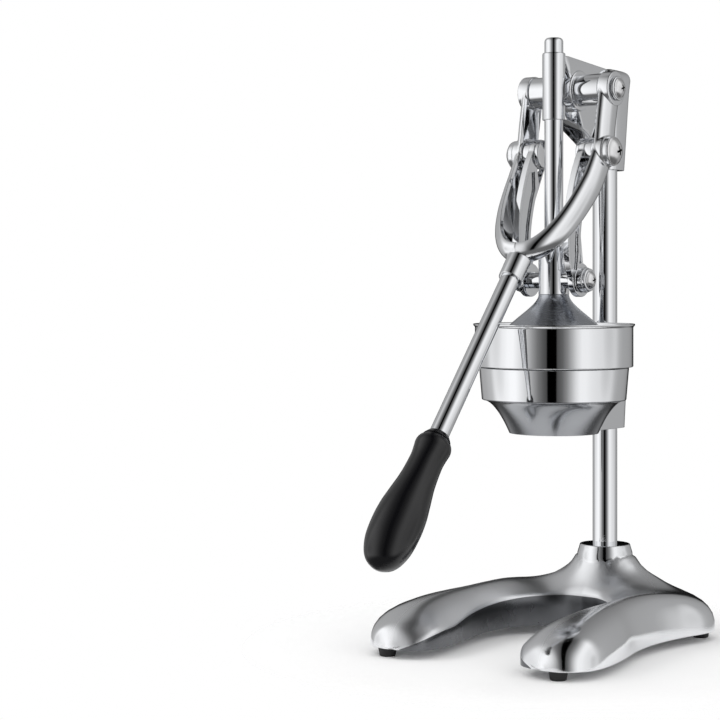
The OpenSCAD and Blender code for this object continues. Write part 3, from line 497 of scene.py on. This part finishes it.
# %% Bowl holder
OUTLET_Z, LEDGE_Z, BAND_TOP = 158.5, 183.3, 207.7
BAND_R, OUTLET_R, SPIGOT_R = 55.8, 33.3, 52.0
FUNNEL_WALL, SPIGOT_GAP, NECK_START, HOLDER_DRAFT = 2.8, 0.3, 30, 0.045
funnel_out = bezier([(BAND_R - 3, LEDGE_Z), (OUTLET_R + 12.5, LEDGE_Z - 1), (OUTLET_R + 5.5, LEDGE_Z - 12),
                     (OUTLET_R, OUTLET_Z)], 20)
funnel_in = bezier([(OUTLET_R - FUNNEL_WALL, OUTLET_Z), (OUTLET_R + 3.2, LEDGE_Z - 12), (OUTLET_R + 7.2, LEDGE_Z + 2.5),
                    (BAND_R - 6.9, LEDGE_Z + 3.5)], 20)


def holder_boss(z):
    """Half the width of the arm and boss, which widen upwards."""
    return 15.1 + HOLDER_DRAFT * (z - OUTLET_Z)


bm = bmesh.new()
lathe(bm, [(0, BAND_TOP)] + arc(BAND_R - 0.4, BAND_TOP - 0.6, 0.4, 90, 0)
      + arc(BAND_R - 2.9, LEDGE_Z + 1, 1, 0, -90) + [tuple(p) for p in funnel_out] + [(0, OUTLET_Z)], steps=160)
neck = bmesh.new()
half_low, half_high = holder_boss(OUTLET_Z), holder_boss(BAND_TOP)
corners = [neck.verts.new((x, NECK_START, z)) for x, z in (
    (-half_low, OUTLET_Z), (half_low, OUTLET_Z), (half_high, BAND_TOP), (-half_high, BAND_TOP))]
face = bmesh.ops.contextual_create(neck, geom=corners)["faces"]
made = bmesh.ops.extrude_face_region(neck, geom=face, use_keep_orig=True)["geom"]
bmesh.ops.translate(neck, vec=(0, POST_BACK - NECK_START, 0),
                    verts=[v for v in made if isinstance(v, bmesh.types.BMVert)])
bm = combine(bm, neck, "UNION")
hub = bmesh.new()
lathe(hub, [(0, OUTLET_Z), (half_low, OUTLET_Z), (half_high, BAND_TOP), (0, BAND_TOP)],
      Matrix.Translation((0, POST_BACK, 0)), 96)
bm = combine(bm, hub, "UNION")
core = bmesh.new()
lathe(core, [(0, OUTLET_Z - 1), (OUTLET_R - FUNNEL_WALL, OUTLET_Z - 1)] + [tuple(p) for p in funnel_in]
      + [(SPIGOT_R + SPIGOT_GAP, LEDGE_Z + 7), (SPIGOT_R + SPIGOT_GAP, BAND_TOP + 1), (0, BAND_TOP + 1)], steps=160)
bm = combine(bm, core)
bm.normal_update()
for face in bm.faces:
    # The funnel looks down, and so does the ledge above it. Faces that look down get a darker satin, which is painted
    # shade
    face.material_index = int(face.normal.z < -0.1 and face.calc_center_median().z > OUTLET_Z + 0.1)
add_piece(bm, "bowl_holder_casting", chrome_cast, ["bowl_holder"], angle=40, second=funnel_satin_and_painted_shade)

# %% [markdown]
# ## Bowl
# The bowl is pressed from sheet. Its step sits just over the holder's band, which leaves the fine
# dark seam, and its rim is rolled outwards. A single skin with a modifier for the thickness could
# do, but the rim and the step differ inside and out. So it is one turned outline that goes up the
# outside and comes down the inside.

# %% Bowl
BOWL_R, BOWL_TOP, FLOOR_Z, BOWL_WALL = 59, 240.2, 194.3, 1.8
inner_r = BOWL_R - BOWL_WALL
bm = bmesh.new()
bowl_line = ([(SPIGOT_R - 8, FLOOR_Z - 2.2)] + arc(SPIGOT_R - 1, FLOOR_Z - 1.2, 1, -90, 0)
             + [(SPIGOT_R, BAND_TOP + 0.5)] + arc(BOWL_R - 0.8, BAND_TOP + 1.3, 0.8, -90, 0, 6)
             + [(BOWL_R, BOWL_TOP - 3.4)] + [tuple(p) for p in bezier([
                 (BOWL_R, BOWL_TOP - 3), (BOWL_R, BOWL_TOP - 1.7), (BOWL_R + 1.3, BOWL_TOP - 1.9),
                 (BOWL_R + 1.3, BOWL_TOP - 0.4)], 5)]
             + arc(BOWL_R + 0.9, BOWL_TOP - 0.4, 0.4, 0, 90, 4)
             + arc(BOWL_R - 0.6, BOWL_TOP - 1.2, 1.2, 90, 180, 5) + [(inner_r, BOWL_TOP - 3)]
             + arc(inner_r - 3.2, BAND_TOP + 5, 3.2, 0, -70, 6)
             + [(SPIGOT_R - BOWL_WALL, BAND_TOP - 1.5), (SPIGOT_R - BOWL_WALL, FLOOR_Z),
                (SPIGOT_R - 8, FLOOR_Z), (SPIGOT_R - 8, FLOOR_Z - 2.2)])
lathe(bm, bowl_line, steps=160)
add_piece(bm, "bowl", bowl_steel, ["juice_bowl"], angle=40)

# %% [markdown]
# ## Rod, crosshead and bell
# The rod slides in the head's sleeve. The crosshead is a turned block on its lower end, with a
# stub on each side for the links. The bell hangs under it. All of them go up and down together.
# They could be one piece, but each has its own finish and is turned on its own, as in the shop.

# %% Rod and crosshead
rod_low, rod_high = (1000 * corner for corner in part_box("plunger_rod"))
bm = bmesh.new()
lathe(bm, [(0, rod_low.z), (5, rod_low.z), (5, 288), (7, 288)] + arc(4, rod_high.z - 3, 3, 0, 90, 8), steps=128)
add_piece(bm, "rod", chrome_bar, ["plunger_rod"])

CROSS_Z, CROSS_H, CROSS_R = 262, 36, 11.5
TOE, KNEE, PIVOT = (0, 272.8), (14, 368.3), (24, 415.7)
bm = bmesh.new()
lathe(bm, disc(CROSS_R, CROSS_Z, CROSS_Z + CROSS_H, 0.4, 1.0), steps=128)
for side in (-1, 1):
    lathe(bm, disc(6.4, 5, 19.2, 0.3, 0.4), across(TOE, 0, side), 64)
add_piece(bm, "crosshead_block", chrome_bar, ["crosshead"])

# %% Bell
BELL_R, BELL_Z, BELL_WALL = 46.5, 205.3, 3
bell_line = ([(0, CROSS_Z)] + [tuple(p) for p in bezier([
    (CROSS_R - 0.2, CROSS_Z), (CROSS_R + 0.4, CROSS_Z - 8), (CROSS_R + 15, CROSS_Z - 15),
    (BELL_R - 7, CROSS_Z - 29)], 24)] + [tuple(p) for p in bezier([
        (BELL_R - 7, CROSS_Z - 29), (BELL_R - 2.5, CROSS_Z - 33), (BELL_R, CROSS_Z - 37),
        (BELL_R, CROSS_Z - 42)], 12)][1:] + arc(BELL_R - 0.8, BELL_Z + 0.8, 0.8, 0, -90, 4))
inner_r = BELL_R - BELL_WALL
bell_line += ([(inner_r, BELL_Z)] + [tuple(p) for p in bezier([
    (inner_r, CROSS_Z - 43), (inner_r, CROSS_Z - 37.5), (inner_r - 2.5, CROSS_Z - 34.5),
    (inner_r - 7, CROSS_Z - 30.5)], 10)] + [(15.5, CROSS_Z - 10.5), (13.5, CROSS_Z - 9), (0, CROSS_Z - 9)])
bm = bmesh.new()
lathe(bm, bell_line, steps=160)
add_piece(bm, "bell", bell_satin, ["press_bell"], angle=40)

# %% [markdown]
# ## Head
# The head is the second large casting: a guide sleeve for the rod, a web that arches back to the
# post, the block that clamps the post, and a cross tube with round pads that carries the lever.
# Its upright faces lean in a little towards the lower end, as they must to leave a mould. It could
# be carved from one block, but a pattern maker joins simple forms, and so does this cell.

# %% Head
SLEEVE_R, SLEEVE_Z, SLEEVE_TOP = 8.6, 392.3, 442.8
BLOCK_Z, BLOCK_TOP, BLOCK_HALF, WEB_T, DRAFT = 357.8, 435.8, 13, 14.6, 0.045
BLOCK_TOP_HALF = BLOCK_HALF + DRAFT * 78
TUBE_R, TUBE_HALF, PAD_ROUND_R, PAD_HALF = 12, 30.2, 15.4, 9.1


def web_half(z):
    return WEB_T / 2 + DRAFT * (z - PIVOT[1])


def block_section(z, half, corner):
    """A rounded square round the post, at one height."""
    points = []
    for turn in range(4):
        for x, y in arc(half - corner, half - corner, corner, 0, 90, 6):
            points.append(Matrix.Rotation(turn * math.pi / 2, 2) @ Vector((x, y)))
    return [(p.x, POST_BACK + p.y, z) for p in points]


bm = bmesh.new()
levels = [(BLOCK_Z, BLOCK_HALF - 0.4, 7.6), (BLOCK_Z + 0.4, BLOCK_HALF, 8)]
levels += [(BLOCK_Z + 10 * k, BLOCK_HALF + DRAFT * 10 * k, 8) for k in range(1, 7)]
for i in range(9):
    t = math.radians(90 * i / 8)
    inset = 8 * (1 - math.cos(t))
    levels.append((BLOCK_TOP - 8 + 8 * math.sin(t), BLOCK_TOP_HALF - inset, max(8 - inset, 0.8)))
sweep(bm, [block_section(*level) for level in levels])
shave = bmesh.new()
rear = POST_BACK + BLOCK_TOP_HALF + 1
plate(shave, [(40, 350), (rear, 350)] + [(rear - 14 + p, z) for p, z in arc(0, BLOCK_TOP - 15, 14, 0, 84, 10)]
      + [(SLEEVE_R, SLEEVE_TOP - 2.3), (SLEEVE_R, 350)], -30, 30)
bm = combine(bm, shave, "INTERSECT")

arch = [(SLEEVE_R + (POST_BACK - BLOCK_HALF - SLEEVE_R) * math.sin(math.radians(t)),
         BLOCK_Z + 0.3 + (SLEEVE_Z - BLOCK_Z) * math.cos(math.radians(t))) for t in range(0, 91, 5)]
web = bmesh.new()
plate(web, [(1, SLEEVE_Z + 2)] + arch + [(POST_BACK, BLOCK_Z + 1), (POST_BACK, 434.8),
                                         (SLEEVE_R, SLEEVE_TOP - 2.3), (1, SLEEVE_TOP - 2.3)], -1, 1)
for vert in web.verts:
    vert.co.x *= web_half(vert.co.z)
rims = [e for e in web.edges if abs(e.verts[0].co.x + e.verts[1].co.x) > 4]
bmesh.ops.bevel(web, geom=rims, offset=0.7, affect="EDGES", segments=2, profile=0.5, material=-1)
bm = combine(bm, web, "UNION")

for outline, place in ((disc(SLEEVE_R, SLEEVE_Z, SLEEVE_TOP, 0.6, 1.4), UPRIGHT),
                       (disc(TUBE_R, -TUBE_HALF, TUBE_HALF, 0.4, 0.4), across(PIVOT)),
                       (disc(PAD_ROUND_R, -PAD_HALF, PAD_HALF, 1.2, 1.2), across(PIVOT))):
    turned = bmesh.new()
    lathe(turned, outline, place)
    bm = combine(bm, turned, "UNION")
add_piece(bm, "head", chrome_cast, ["head_casting"], angle=40)

# %% [markdown]
# ## Fork of the lever
# The lever is a fork: two arms run from the pivots down past the links, come together in a bow
# and end in a socket for the handle. The section is flat inside and rounded outside. A bent bar
# under a curve modifier could follow that line, but it would twist in the bow. So one sweep carries
# the section down the right arm to the middle of the bow, and a mirror gives the left.

# %% Directions of the handle
HANDLE_ANGLE = math.radians(40)
ALONG = Vector((-math.sin(HANDLE_ANGLE), -math.cos(HANDLE_ANGLE)))
SQUARE = Vector((-math.cos(HANDLE_ANGLE), math.sin(HANDLE_ANGLE)))
KNEE_OFF, SOCKET_REACH = 4.7, 120.6
foot_of_knee = Vector(KNEE) - KNEE_OFF * SQUARE


def on_handle(s, n=0.0):
    """The point (back, up) at distance s down the handle's axis and n in front of it."""
    return foot_of_knee + s * ALONG + n * SQUARE


def down_handle(s):
    point = on_handle(s)
    return Matrix.Translation((0, *point)) @ Matrix.Rotation(-HANDLE_ANGLE, 4, "X")


# %% Fork
FORK_IN, ARM_T, ARM_W, BOW_START, BOW_END, BOW_T, BOW_W, BOW_LIFT = 30.5, 9.3, 26, 5, 98.8, 9.5, 18.5, 2.8
ARM_X = FORK_IN + ARM_T / 2
to_pivot = Vector(PIVOT) - foot_of_knee
pivot_s, pivot_n = to_pivot.dot(ALONG), to_pivot.dot(SQUARE)
fork_rows = [(ARM_X, pivot_s * (1 - t), pivot_n + (KNEE_OFF - pivot_n) * t, ARM_W - 1 - t, ARM_T - 1)
             for t in (0, 0.5, 1)]
for turn in (9, 18, 30, 42, 54, 66, 78, 90):
    f = math.sin(math.radians(turn)) ** (2 / 2.25)
    side = max(0.0, math.cos(math.radians(turn))) ** (2 / 2.25) if turn < 90 else 0.0
    fork_rows.append((ARM_X * side, BOW_START + (BOW_END - BOW_START) * f,
                      0.6 * KNEE_OFF * (1 - f) ** 8 + BOW_LIFT * f ** 4,
                      ARM_W - 2 + (BOW_W - ARM_W + 2) * f ** 1.5, ARM_T - 1 + (BOW_T - ARM_T + 1) * f))
FORK_BEVEL = 1.6


def fork_point(row):
    return Vector((row[0], *on_handle(row[1], row[2])))


def fork_section(s):
    last = len(fork_rows) - 1
    row = between(fork_rows, s)
    before = fork_point(between(fork_rows, max(0, s - 0.1)))
    after = Vector((-before.x, before.y, before.z)) if s > last - 0.1 else fork_point(between(fork_rows, s + 0.1))
    run = (after - before).normalized()
    down = Vector((0, after.y - before.y + 0.3 * ALONG.x, after.z - before.z + 0.3 * ALONG.y)).normalized()
    wide = Vector((1, 0, 0)).cross(down)
    out = run.cross(wide).normalized()
    w, t = row[3] / 2, row[4]
    flat = [(w * math.cos(f), t * (0.82 * math.sin(f) - 0.32)) for f in (math.radians(9 * k) for k in range(21))]
    flat += [(FORK_BEVEL - w, -t / 2), (w - FORK_BEVEL, -t / 2)]
    return [fork_point(row) + wide * a + out * b for a, b in flat]


bm = bmesh.new()
sweep(bm, [fork_section(k / 10) for k in range(10 * (len(fork_rows) - 1) + 1)], cap_last=False)
mirrored(bm)
for side in (-1, 1):
    lathe(bm, disc(ARM_W / 2, FORK_IN, FORK_IN + ARM_T, 0.5, 0.9), across(PIVOT, 0, side), 96)
    lathe(bm, disc(ARM_W / 2 - 1, FORK_IN, FORK_IN + ARM_T, 0.5, 1.6), across(KNEE, 0, side), 96)
    lathe(bm, disc(11, FORK_IN, FORK_IN + ARM_T + 3.7, 0.3, 0.7), across(KNEE, 0, side), 96)
socket_h = SOCKET_REACH - BOW_END + BOW_T / 3
lathe(bm, [(0, 0), (7.1, 0)] + arc(8.3, 0.5, 0.5, -90, 0, 4) + [(9.2, socket_h), (0, socket_h)],
      down_handle(SOCKET_REACH), 96)
add_piece(bm, "fork", chrome_cast, ["lever_fork"], angle=35)

# %% [markdown]
# ## Handle bar and grip
# A polished bar runs from the socket into the grip. The grip is moulded: a small collar, a
# waist and a long bulb with a rounded end. It could be sculpted, but it is round like a turned
# handle, so its outline is a smooth curve through a few radii.

# %% Handle bar
BAR_R, BAR_SHOW, GRIP_LEN, GRIP_R, WAIST_R, SHOULDER_R = 7, 139.5, 110.5, 17.6, 11.9, 13
bm = bmesh.new()
lathe(bm, [(0, 0), (BAR_R, 0), (BAR_R, -15.7 - BAR_SHOW - 60), (0, -15.7 - BAR_SHOW - 60)],
      down_handle(SOCKET_REACH - 15.7), 128)
add_piece(bm, "bar", chrome_bar, ["handle_bar"])

# %% Grip
grip_rows = [(0, BAR_R + 0.8), (3.4, BAR_R + 3.1), (3.8, BAR_R + 2.8), (7, SHOULDER_R - 0.9), (10.5, SHOULDER_R),
             (15, SHOULDER_R - 0.5), (21, WAIST_R), (29, WAIST_R + 0.2), (GRIP_LEN - 70, WAIST_R + 1.2),
             (GRIP_LEN - 57, GRIP_R - 2.3), (GRIP_LEN - 46, GRIP_R - 0.6), (GRIP_LEN - 34, GRIP_R),
             (GRIP_LEN - 21, GRIP_R - 0.8), (GRIP_LEN - 11.5, GRIP_R - 3.4), (GRIP_LEN - 5.5, GRIP_R - 7),
             (GRIP_LEN - 1.6, GRIP_R - 12.5), (GRIP_LEN, 0)]
grip_line = [between(grip_rows, k / 8) for k in range(8 * (len(grip_rows) - 1) + 1)]
bm = bmesh.new()
lathe(bm, [(0, 0)] + [(max(0, r), -s) for s, r in grip_line], down_handle(SOCKET_REACH + BAR_SHOW), 128)
add_piece(bm, "grip_moulding", grip_black, ["grip"], angle=50)

# %% [markdown]
# ## Links
# Two bowed links join the fork to the crosshead. Each is a flat casting with a thick rim and a
# sunk middle, so it is light and stiff. The outline follows a bowed centre line and narrows
# downwards, with round eyes at both ends. The sunk middle could be left to a bump in the finish,
# but it shows from both sides, so it is cut out of the plate.

# %% Outline of a link
LINK_IN, LINK_T, LINK_RIM = 19.5, 4.8, 3
link_line = Vector(KNEE) - Vector(TOE)
ahead = Vector((-link_line.y, link_line.x)).normalized()
link_curve = [Vector(TOE), Vector(TOE) + 0.08 * link_line + 21.45 * ahead,
              Vector(TOE) + 0.72 * link_line + 18.6 * ahead, Vector(KNEE)]


def link_at(t):
    level = link_curve
    while len(level) > 1:
        level = [a.lerp(b, t) for a, b in zip(level, level[1:])]
    return level[0]


def link_strip(rim, start=0.0, stop=1.0, steps=32):
    sides = []
    for k in (1, -1):
        for i in range(steps + 1):
            t = start + (stop - start) * i / steps
            run = (link_at(t + 0.01) - link_at(t - 0.01)).normalized()
            half = (15 + 5 * t) / 2 - rim
            sides.append(link_at(t) + k * half * Vector((run.y, -run.x)))
    return sides[:steps + 1] + sides[:steps:-1]


# %% Links
LINK_OUT = LINK_IN + LINK_T
TOE_FACE = LINK_OUT + 5
for side, hand in ((-1, "left"), (1, "right")):
    bm = bmesh.new()
    plate(bm, link_strip(0, 0.04, 0.97), side * LINK_IN, side * LINK_OUT)
    for point, radius in ((KNEE, 11.2), (TOE, 12.5)):
        eye = bmesh.new()
        lathe(eye, disc(radius, LINK_IN, LINK_OUT, 0.4, 0.4), across(point, 0, side), 96)
        bm = combine(bm, eye, "UNION")
    for face_x, depth in ((LINK_IN, 1), (LINK_OUT, -1)):
        pocket = bmesh.new()
        near, far = 0.17, 0.8
        outline = link_strip(LINK_RIM, near, far)
        middle = len(outline) // 2
        outline = [link_at(near - 0.03)] + outline[:middle] + [link_at(far + 0.045)] + outline[middle:]
        plate(pocket, outline, side * (face_x - depth), side * (face_x + depth * 1.5))
        bm = combine(bm, pocket)
    boss = bmesh.new()
    lathe(boss, disc(10.6, LINK_IN - 3, FORK_IN - 0.3, 0.5, 0.3), across(KNEE, 0, side), 96)
    bm = combine(bm, boss, "UNION")
    boss = bmesh.new()
    lathe(boss, disc(9.3, LINK_IN, TOE_FACE, 0.4, 0.6), across(TOE, 0, side), 96)
    bm = combine(bm, boss, "UNION")
    add_piece(bm, "bowed_link_" + hand, chrome_cast, ["link_" + hand], angle=40)

# %% [markdown]
# ## Screws and washers
# The pivots are closed by domed screws with a cross recess, over small round washers. The cross
# could be painted on, but it has to be dark and deep from every side. So the heads are turned, and
# the cross is cut into them with two thin wedges. The faces inside the cut get the dark finish,
# which is painted shade in the recess.

# %% Domed screw
def dome_line(radius, height, shank_r, shank_l):
    ball = (radius ** 2 + height ** 2) / (2 * height)
    spread = math.degrees(math.asin(min(1, (radius - 0.35) / ball)))
    crown = arc(0, height - ball, ball, 90 - spread, 90, 12)
    return [(0, -shank_l), (shank_r, -shank_l), (shank_r, 0), (radius - 0.35, 0), (radius, 0.3)] + crown


def screw_head(name, node, point, x, side, radius, height, shank_r, shank_l, finish):
    place = across(point, x, side)
    bm = bmesh.new()
    lathe(bm, dome_line(radius, height, shank_r, shank_l), place, 96)
    for turn in (0.3, 0.3 + math.pi / 2):
        wedge = bmesh.new()
        bmesh.ops.create_cube(wedge, size=1.0)
        bmesh.ops.scale(wedge, vec=(radius * 0.95, radius * 0.2, height), verts=wedge.verts)
        for vert in wedge.verts:
            if vert.co.z < 0:
                vert.co.x *= 0.45
                vert.co.y *= 0.6
        bmesh.ops.translate(wedge, vec=(0, 0, height * 0.95), verts=wedge.verts)
        bmesh.ops.transform(wedge, matrix=place @ Matrix.Rotation(turn, 4, "Z"), verts=wedge.verts)
        bm = combine(bm, wedge)
    ball = (radius ** 2 + height ** 2) / (2 * height)
    # Faces inside the cross recess get the dark finish as painted shade
    for face in bm.faces:
        at = place.inverted() @ face.calc_center_median()
        from_axis = math.hypot(at.x, at.y)
        crown = height - ball + math.sqrt(max(0, ball ** 2 - from_axis ** 2))
        face.material_index = int(0 < at.z < crown - 0.15 and from_axis < radius * 0.6)
    add_piece(bm, name, finish, [node], angle=35, second=dark_oxide_and_recess_shade)


def washer(name, node, point, x0, x1, side, radius, hole):
    bm = bmesh.new()
    lathe(bm, [(hole, x0)] + arc(radius - 0.5, x0 + 0.5, 0.5, -90, 0, 4)
          + arc(radius - 1.1, x1 - 1.1, 1.1, 0, 90, 6) + [(hole, x1), (hole, x0)], across(point, 0, side), 96)
    add_piece(bm, name, chrome_bar, [node], angle=50)


# %% All pivots
ARM_FACE = FORK_IN + ARM_T
for side, hand in ((-1, "left"), (1, "right")):
    washer("washer_pivot_" + hand, "pivot_washer_" + hand, PIVOT, ARM_FACE + 0.3, ARM_FACE + 2.5, side, 9.3, 5.1)
    screw_head("screw_pivot_" + hand, "pivot_screw_" + hand, PIVOT, ARM_FACE + 2.5, side, 7.7, 3.6, 4.9, 12, nickel)
    screw_head("bolt_knee_" + hand, "link_bolt_" + hand, KNEE, ARM_FACE + 4, side, 10.5, 5, 5.9, 26.5, nickel)
    washer("washer_toe_" + hand, "link_washer_" + hand, TOE, TOE_FACE, TOE_FACE + 2.4, side, 8.6, 3.1)
    screw_head("screw_toe_" + hand, "link_screw_" + hand, TOE, TOE_FACE + 2.4, side, 6.6, 3.6, 2.9, 12, nickel)

# %% [markdown]
# ## Table
# The photograph is cut out on white. A round white table keeps a soft shadow under the feet and
# fades into the white of the room, so no edge shows. A floor that only catches shadows could do
# it too, but chrome would mirror nothing in it. The table is small, because the base mirrors it.

# %% Stage objects
def stage_piece(outline, name, skin):
    """A turned piece of the stage, and the empty shader of its material."""
    bm = bmesh.new()
    lathe(bm, outline)
    bmesh.ops.scale(bm, vec=(0.001, 0.001, 0.001), verts=bm.verts)
    mesh = bpy.data.meshes.new(name)
    bm.to_mesh(mesh)
    bm.free()
    piece = bpy.data.objects.new(name, mesh)
    bpy.context.scene.collection.objects.link(piece)
    owner = bpy.data.materials.new(skin)
    owner.use_nodes = True
    mesh.materials.append(owner)
    print(name, "of", len(mesh.polygons), "faces")
    return piece, Finish(owner)


def smooth_between(f, value, start, stop):
    """0 before start, 1 after stop, and smooth between them."""
    return f.node("ShaderNodeMapRange", {"interpolation_type": "SMOOTHSTEP"},
                  {"Value": value, "From Min": start, "From Max": stop, "To Min": 0.0, "To Max": 1.0})


# %% Table
TABLE_R, FADE_START, FADE_STOP = 275, 0.16, 0.27
TABLE_SHADE = (0.93, 0.93, 0.93, 1)
table, f = stage_piece([(TABLE_R * k / 12, 0) for k in range(13)], "table", "table_paper")
place = f.node("ShaderNodeTexCoord", output="Object")
grain = f.node("ShaderNodeTexNoise", {}, {"Vector": place, "Scale": 300.0}, "Fac")
paper = f.node("ShaderNodeBsdfDiffuse", {}, {"Color": TABLE_SHADE, "Roughness": grain})
nothing = f.node("ShaderNodeBsdfTransparent")
out_there = f.node("ShaderNodeVectorMath", {"operation": "LENGTH"}, {0: place}, "Value")
fading = f.node("ShaderNodeMixShader", {}, {
    0: smooth_between(f, out_there, FADE_START, FADE_STOP), 1: paper, 2: nothing})
f.node("ShaderNodeOutputMaterial", {}, {"Surface": fading})

# %% [markdown]
# ## White room
# The background is plain white. It could be a backdrop behind the press, but then other views
# would look past it, so the room itself is white.

# %% White room
world = bpy.data.worlds.new("room")
bpy.context.scene.world = world
world.use_nodes = True
f = Finish(world)
white = f.node("ShaderNodeBackground", {}, {"Color": (1, 1, 1, 1), "Strength": 1.0})
f.node("ShaderNodeOutputWorld", {}, {"Surface": white})
print("room", world.name)

# %% [markdown]
# ## Tent
# Chrome has no colour of its own: it shows what stands round it. Cards round the press could give
# single stripes, but they would have edges. A studio pitches a tent of cloth for chrome, and so
# does this scene. The tent is white at both sides and grey behind, and a black gap runs from the
# camera's side over the top. Low behind the press is a dark band, which draws the lines along the
# crests of the base. Only mirrors see the tent, so it doesn't hide the white room from the camera,
# and it stays where it is when another view is taken.

# %% Tent
# The middle of the tent, and the directions of the black gap at the camera's side and of its right
TENT_R, TENT_MIDDLE, TENT_STRENGTH = 3000, (0, 0, 0.2), 1.15
GAP = TURN - math.radians(8)
TO_GAP, TO_RIGHT = (math.sin(GAP), -math.cos(GAP), 0), (math.cos(GAP), math.sin(GAP), 0)
# Brightness by the angle out of the plane of the gap in degrees, the right being positive
FRONT = [(-90, 0.68), (-77, 0.85), (-67, 0.95), (-58, 0.95), (-50, 0.8), (-43, 0.66), (-36, 0.48), (-28, 0.3),
         (-21, 0.17), (-14, 0.1), (-8, 0.06), (-7, 0.0), (6, 0.0), (7, 0.06), (15, 0.12), (22, 0.24), (29, 0.44),
         (36, 0.68), (43, 0.85), (52, 0.85), (60, 0.78), (76, 0.7), (90, 0.55)]
REAR = [(-90, 0.62), (-70, 0.48), (-50, 0.38), (-20, 0.32), (-9, 0.26), (-4, 0.03), (3, 0.03), (8, 0.18),
        (22, 0.24), (40, 0.32), (60, 0.36), (75, 0.45), (90, 0.55)]
DARK_BAND = [(-34, 0), (-20, 0.95), (16, 0.95), (28, 0)]
BELOW = 0.12
tent, f = stage_piece([(r, 200 + z) for r, z in arc(0, 0, TENT_R, -90, 90, 36)], "tent", "tent_cloth")


def vector(operation, first, second=(0, 0, 0), output="Vector"):
    return f.node("ShaderNodeVectorMath", {"operation": operation}, {0: first, 1: second}, output)


def widths(stops, across_gap):
    """Widths of cloth side by side, from the left through the gap to the right."""
    return f.node("ShaderNodeValToRGB", {"stops": [(0.5 + 0.5 * math.sin(math.radians(a)), b) for a, b in stops]},
                  {0: across_gap * 0.5 + 0.5})


ray = vector("NORMALIZE", vector("SUBTRACT", f.node("ShaderNodeTexCoord", output="Object"), TENT_MIDDLE))
to_right = vector("DOT_PRODUCT", ray, TO_RIGHT, "Value")
to_gap = vector("DOT_PRODUCT", ray, TO_GAP, "Value")
to_top = vector("DOT_PRODUCT", ray, (0, 0, 1), "Value")
band = widths(DARK_BAND, to_right) * (1 - smooth_between(f, to_top, 0.1, 0.34))
front, rear = widths(FRONT, to_right), widths(REAR, to_right) * (1 - band)
hung = front + smooth_between(f, to_gap, -0.05, -0.4) * (rear - front)
hung = hung + smooth_between(f, to_top, -0.3, -0.55) * (BELOW - hung)
cloth = f.node("ShaderNodeEmission", {}, {"Color": hung, "Strength": TENT_STRENGTH})
f.node("ShaderNodeOutputMaterial", {}, {"Surface": cloth})
for kind in ("camera", "diffuse", "transmission", "shadow", "volume_scatter"):
    setattr(tent, "visible_" + kind, False)

# %% [markdown]
# ## Key light
# The white room lights everything evenly. A sun would give the shadow a hard edge, so one wide,
# weak lamp from the left front gives it a soft direction. Mirrors don't see it.

# %% Key light
key_data = bpy.data.lights.new("key", "AREA")
key_data.energy = 6
key_data.shape, key_data.size, key_data.size_y = "RECTANGLE", 0.9, 0.6
key = bpy.data.objects.new("key", key_data)
key.location = (-0.9, -0.9, 1.3)
key.rotation_euler = (Vector((0, 0, 0.2)) - key.location).to_track_quat("-Z", "Y").to_euler()
key.visible_glossy = False
bpy.context.scene.collection.objects.link(key)
bpy.context.scene.view_settings.view_transform = "Standard"
print("key light of", key_data.energy, "W")
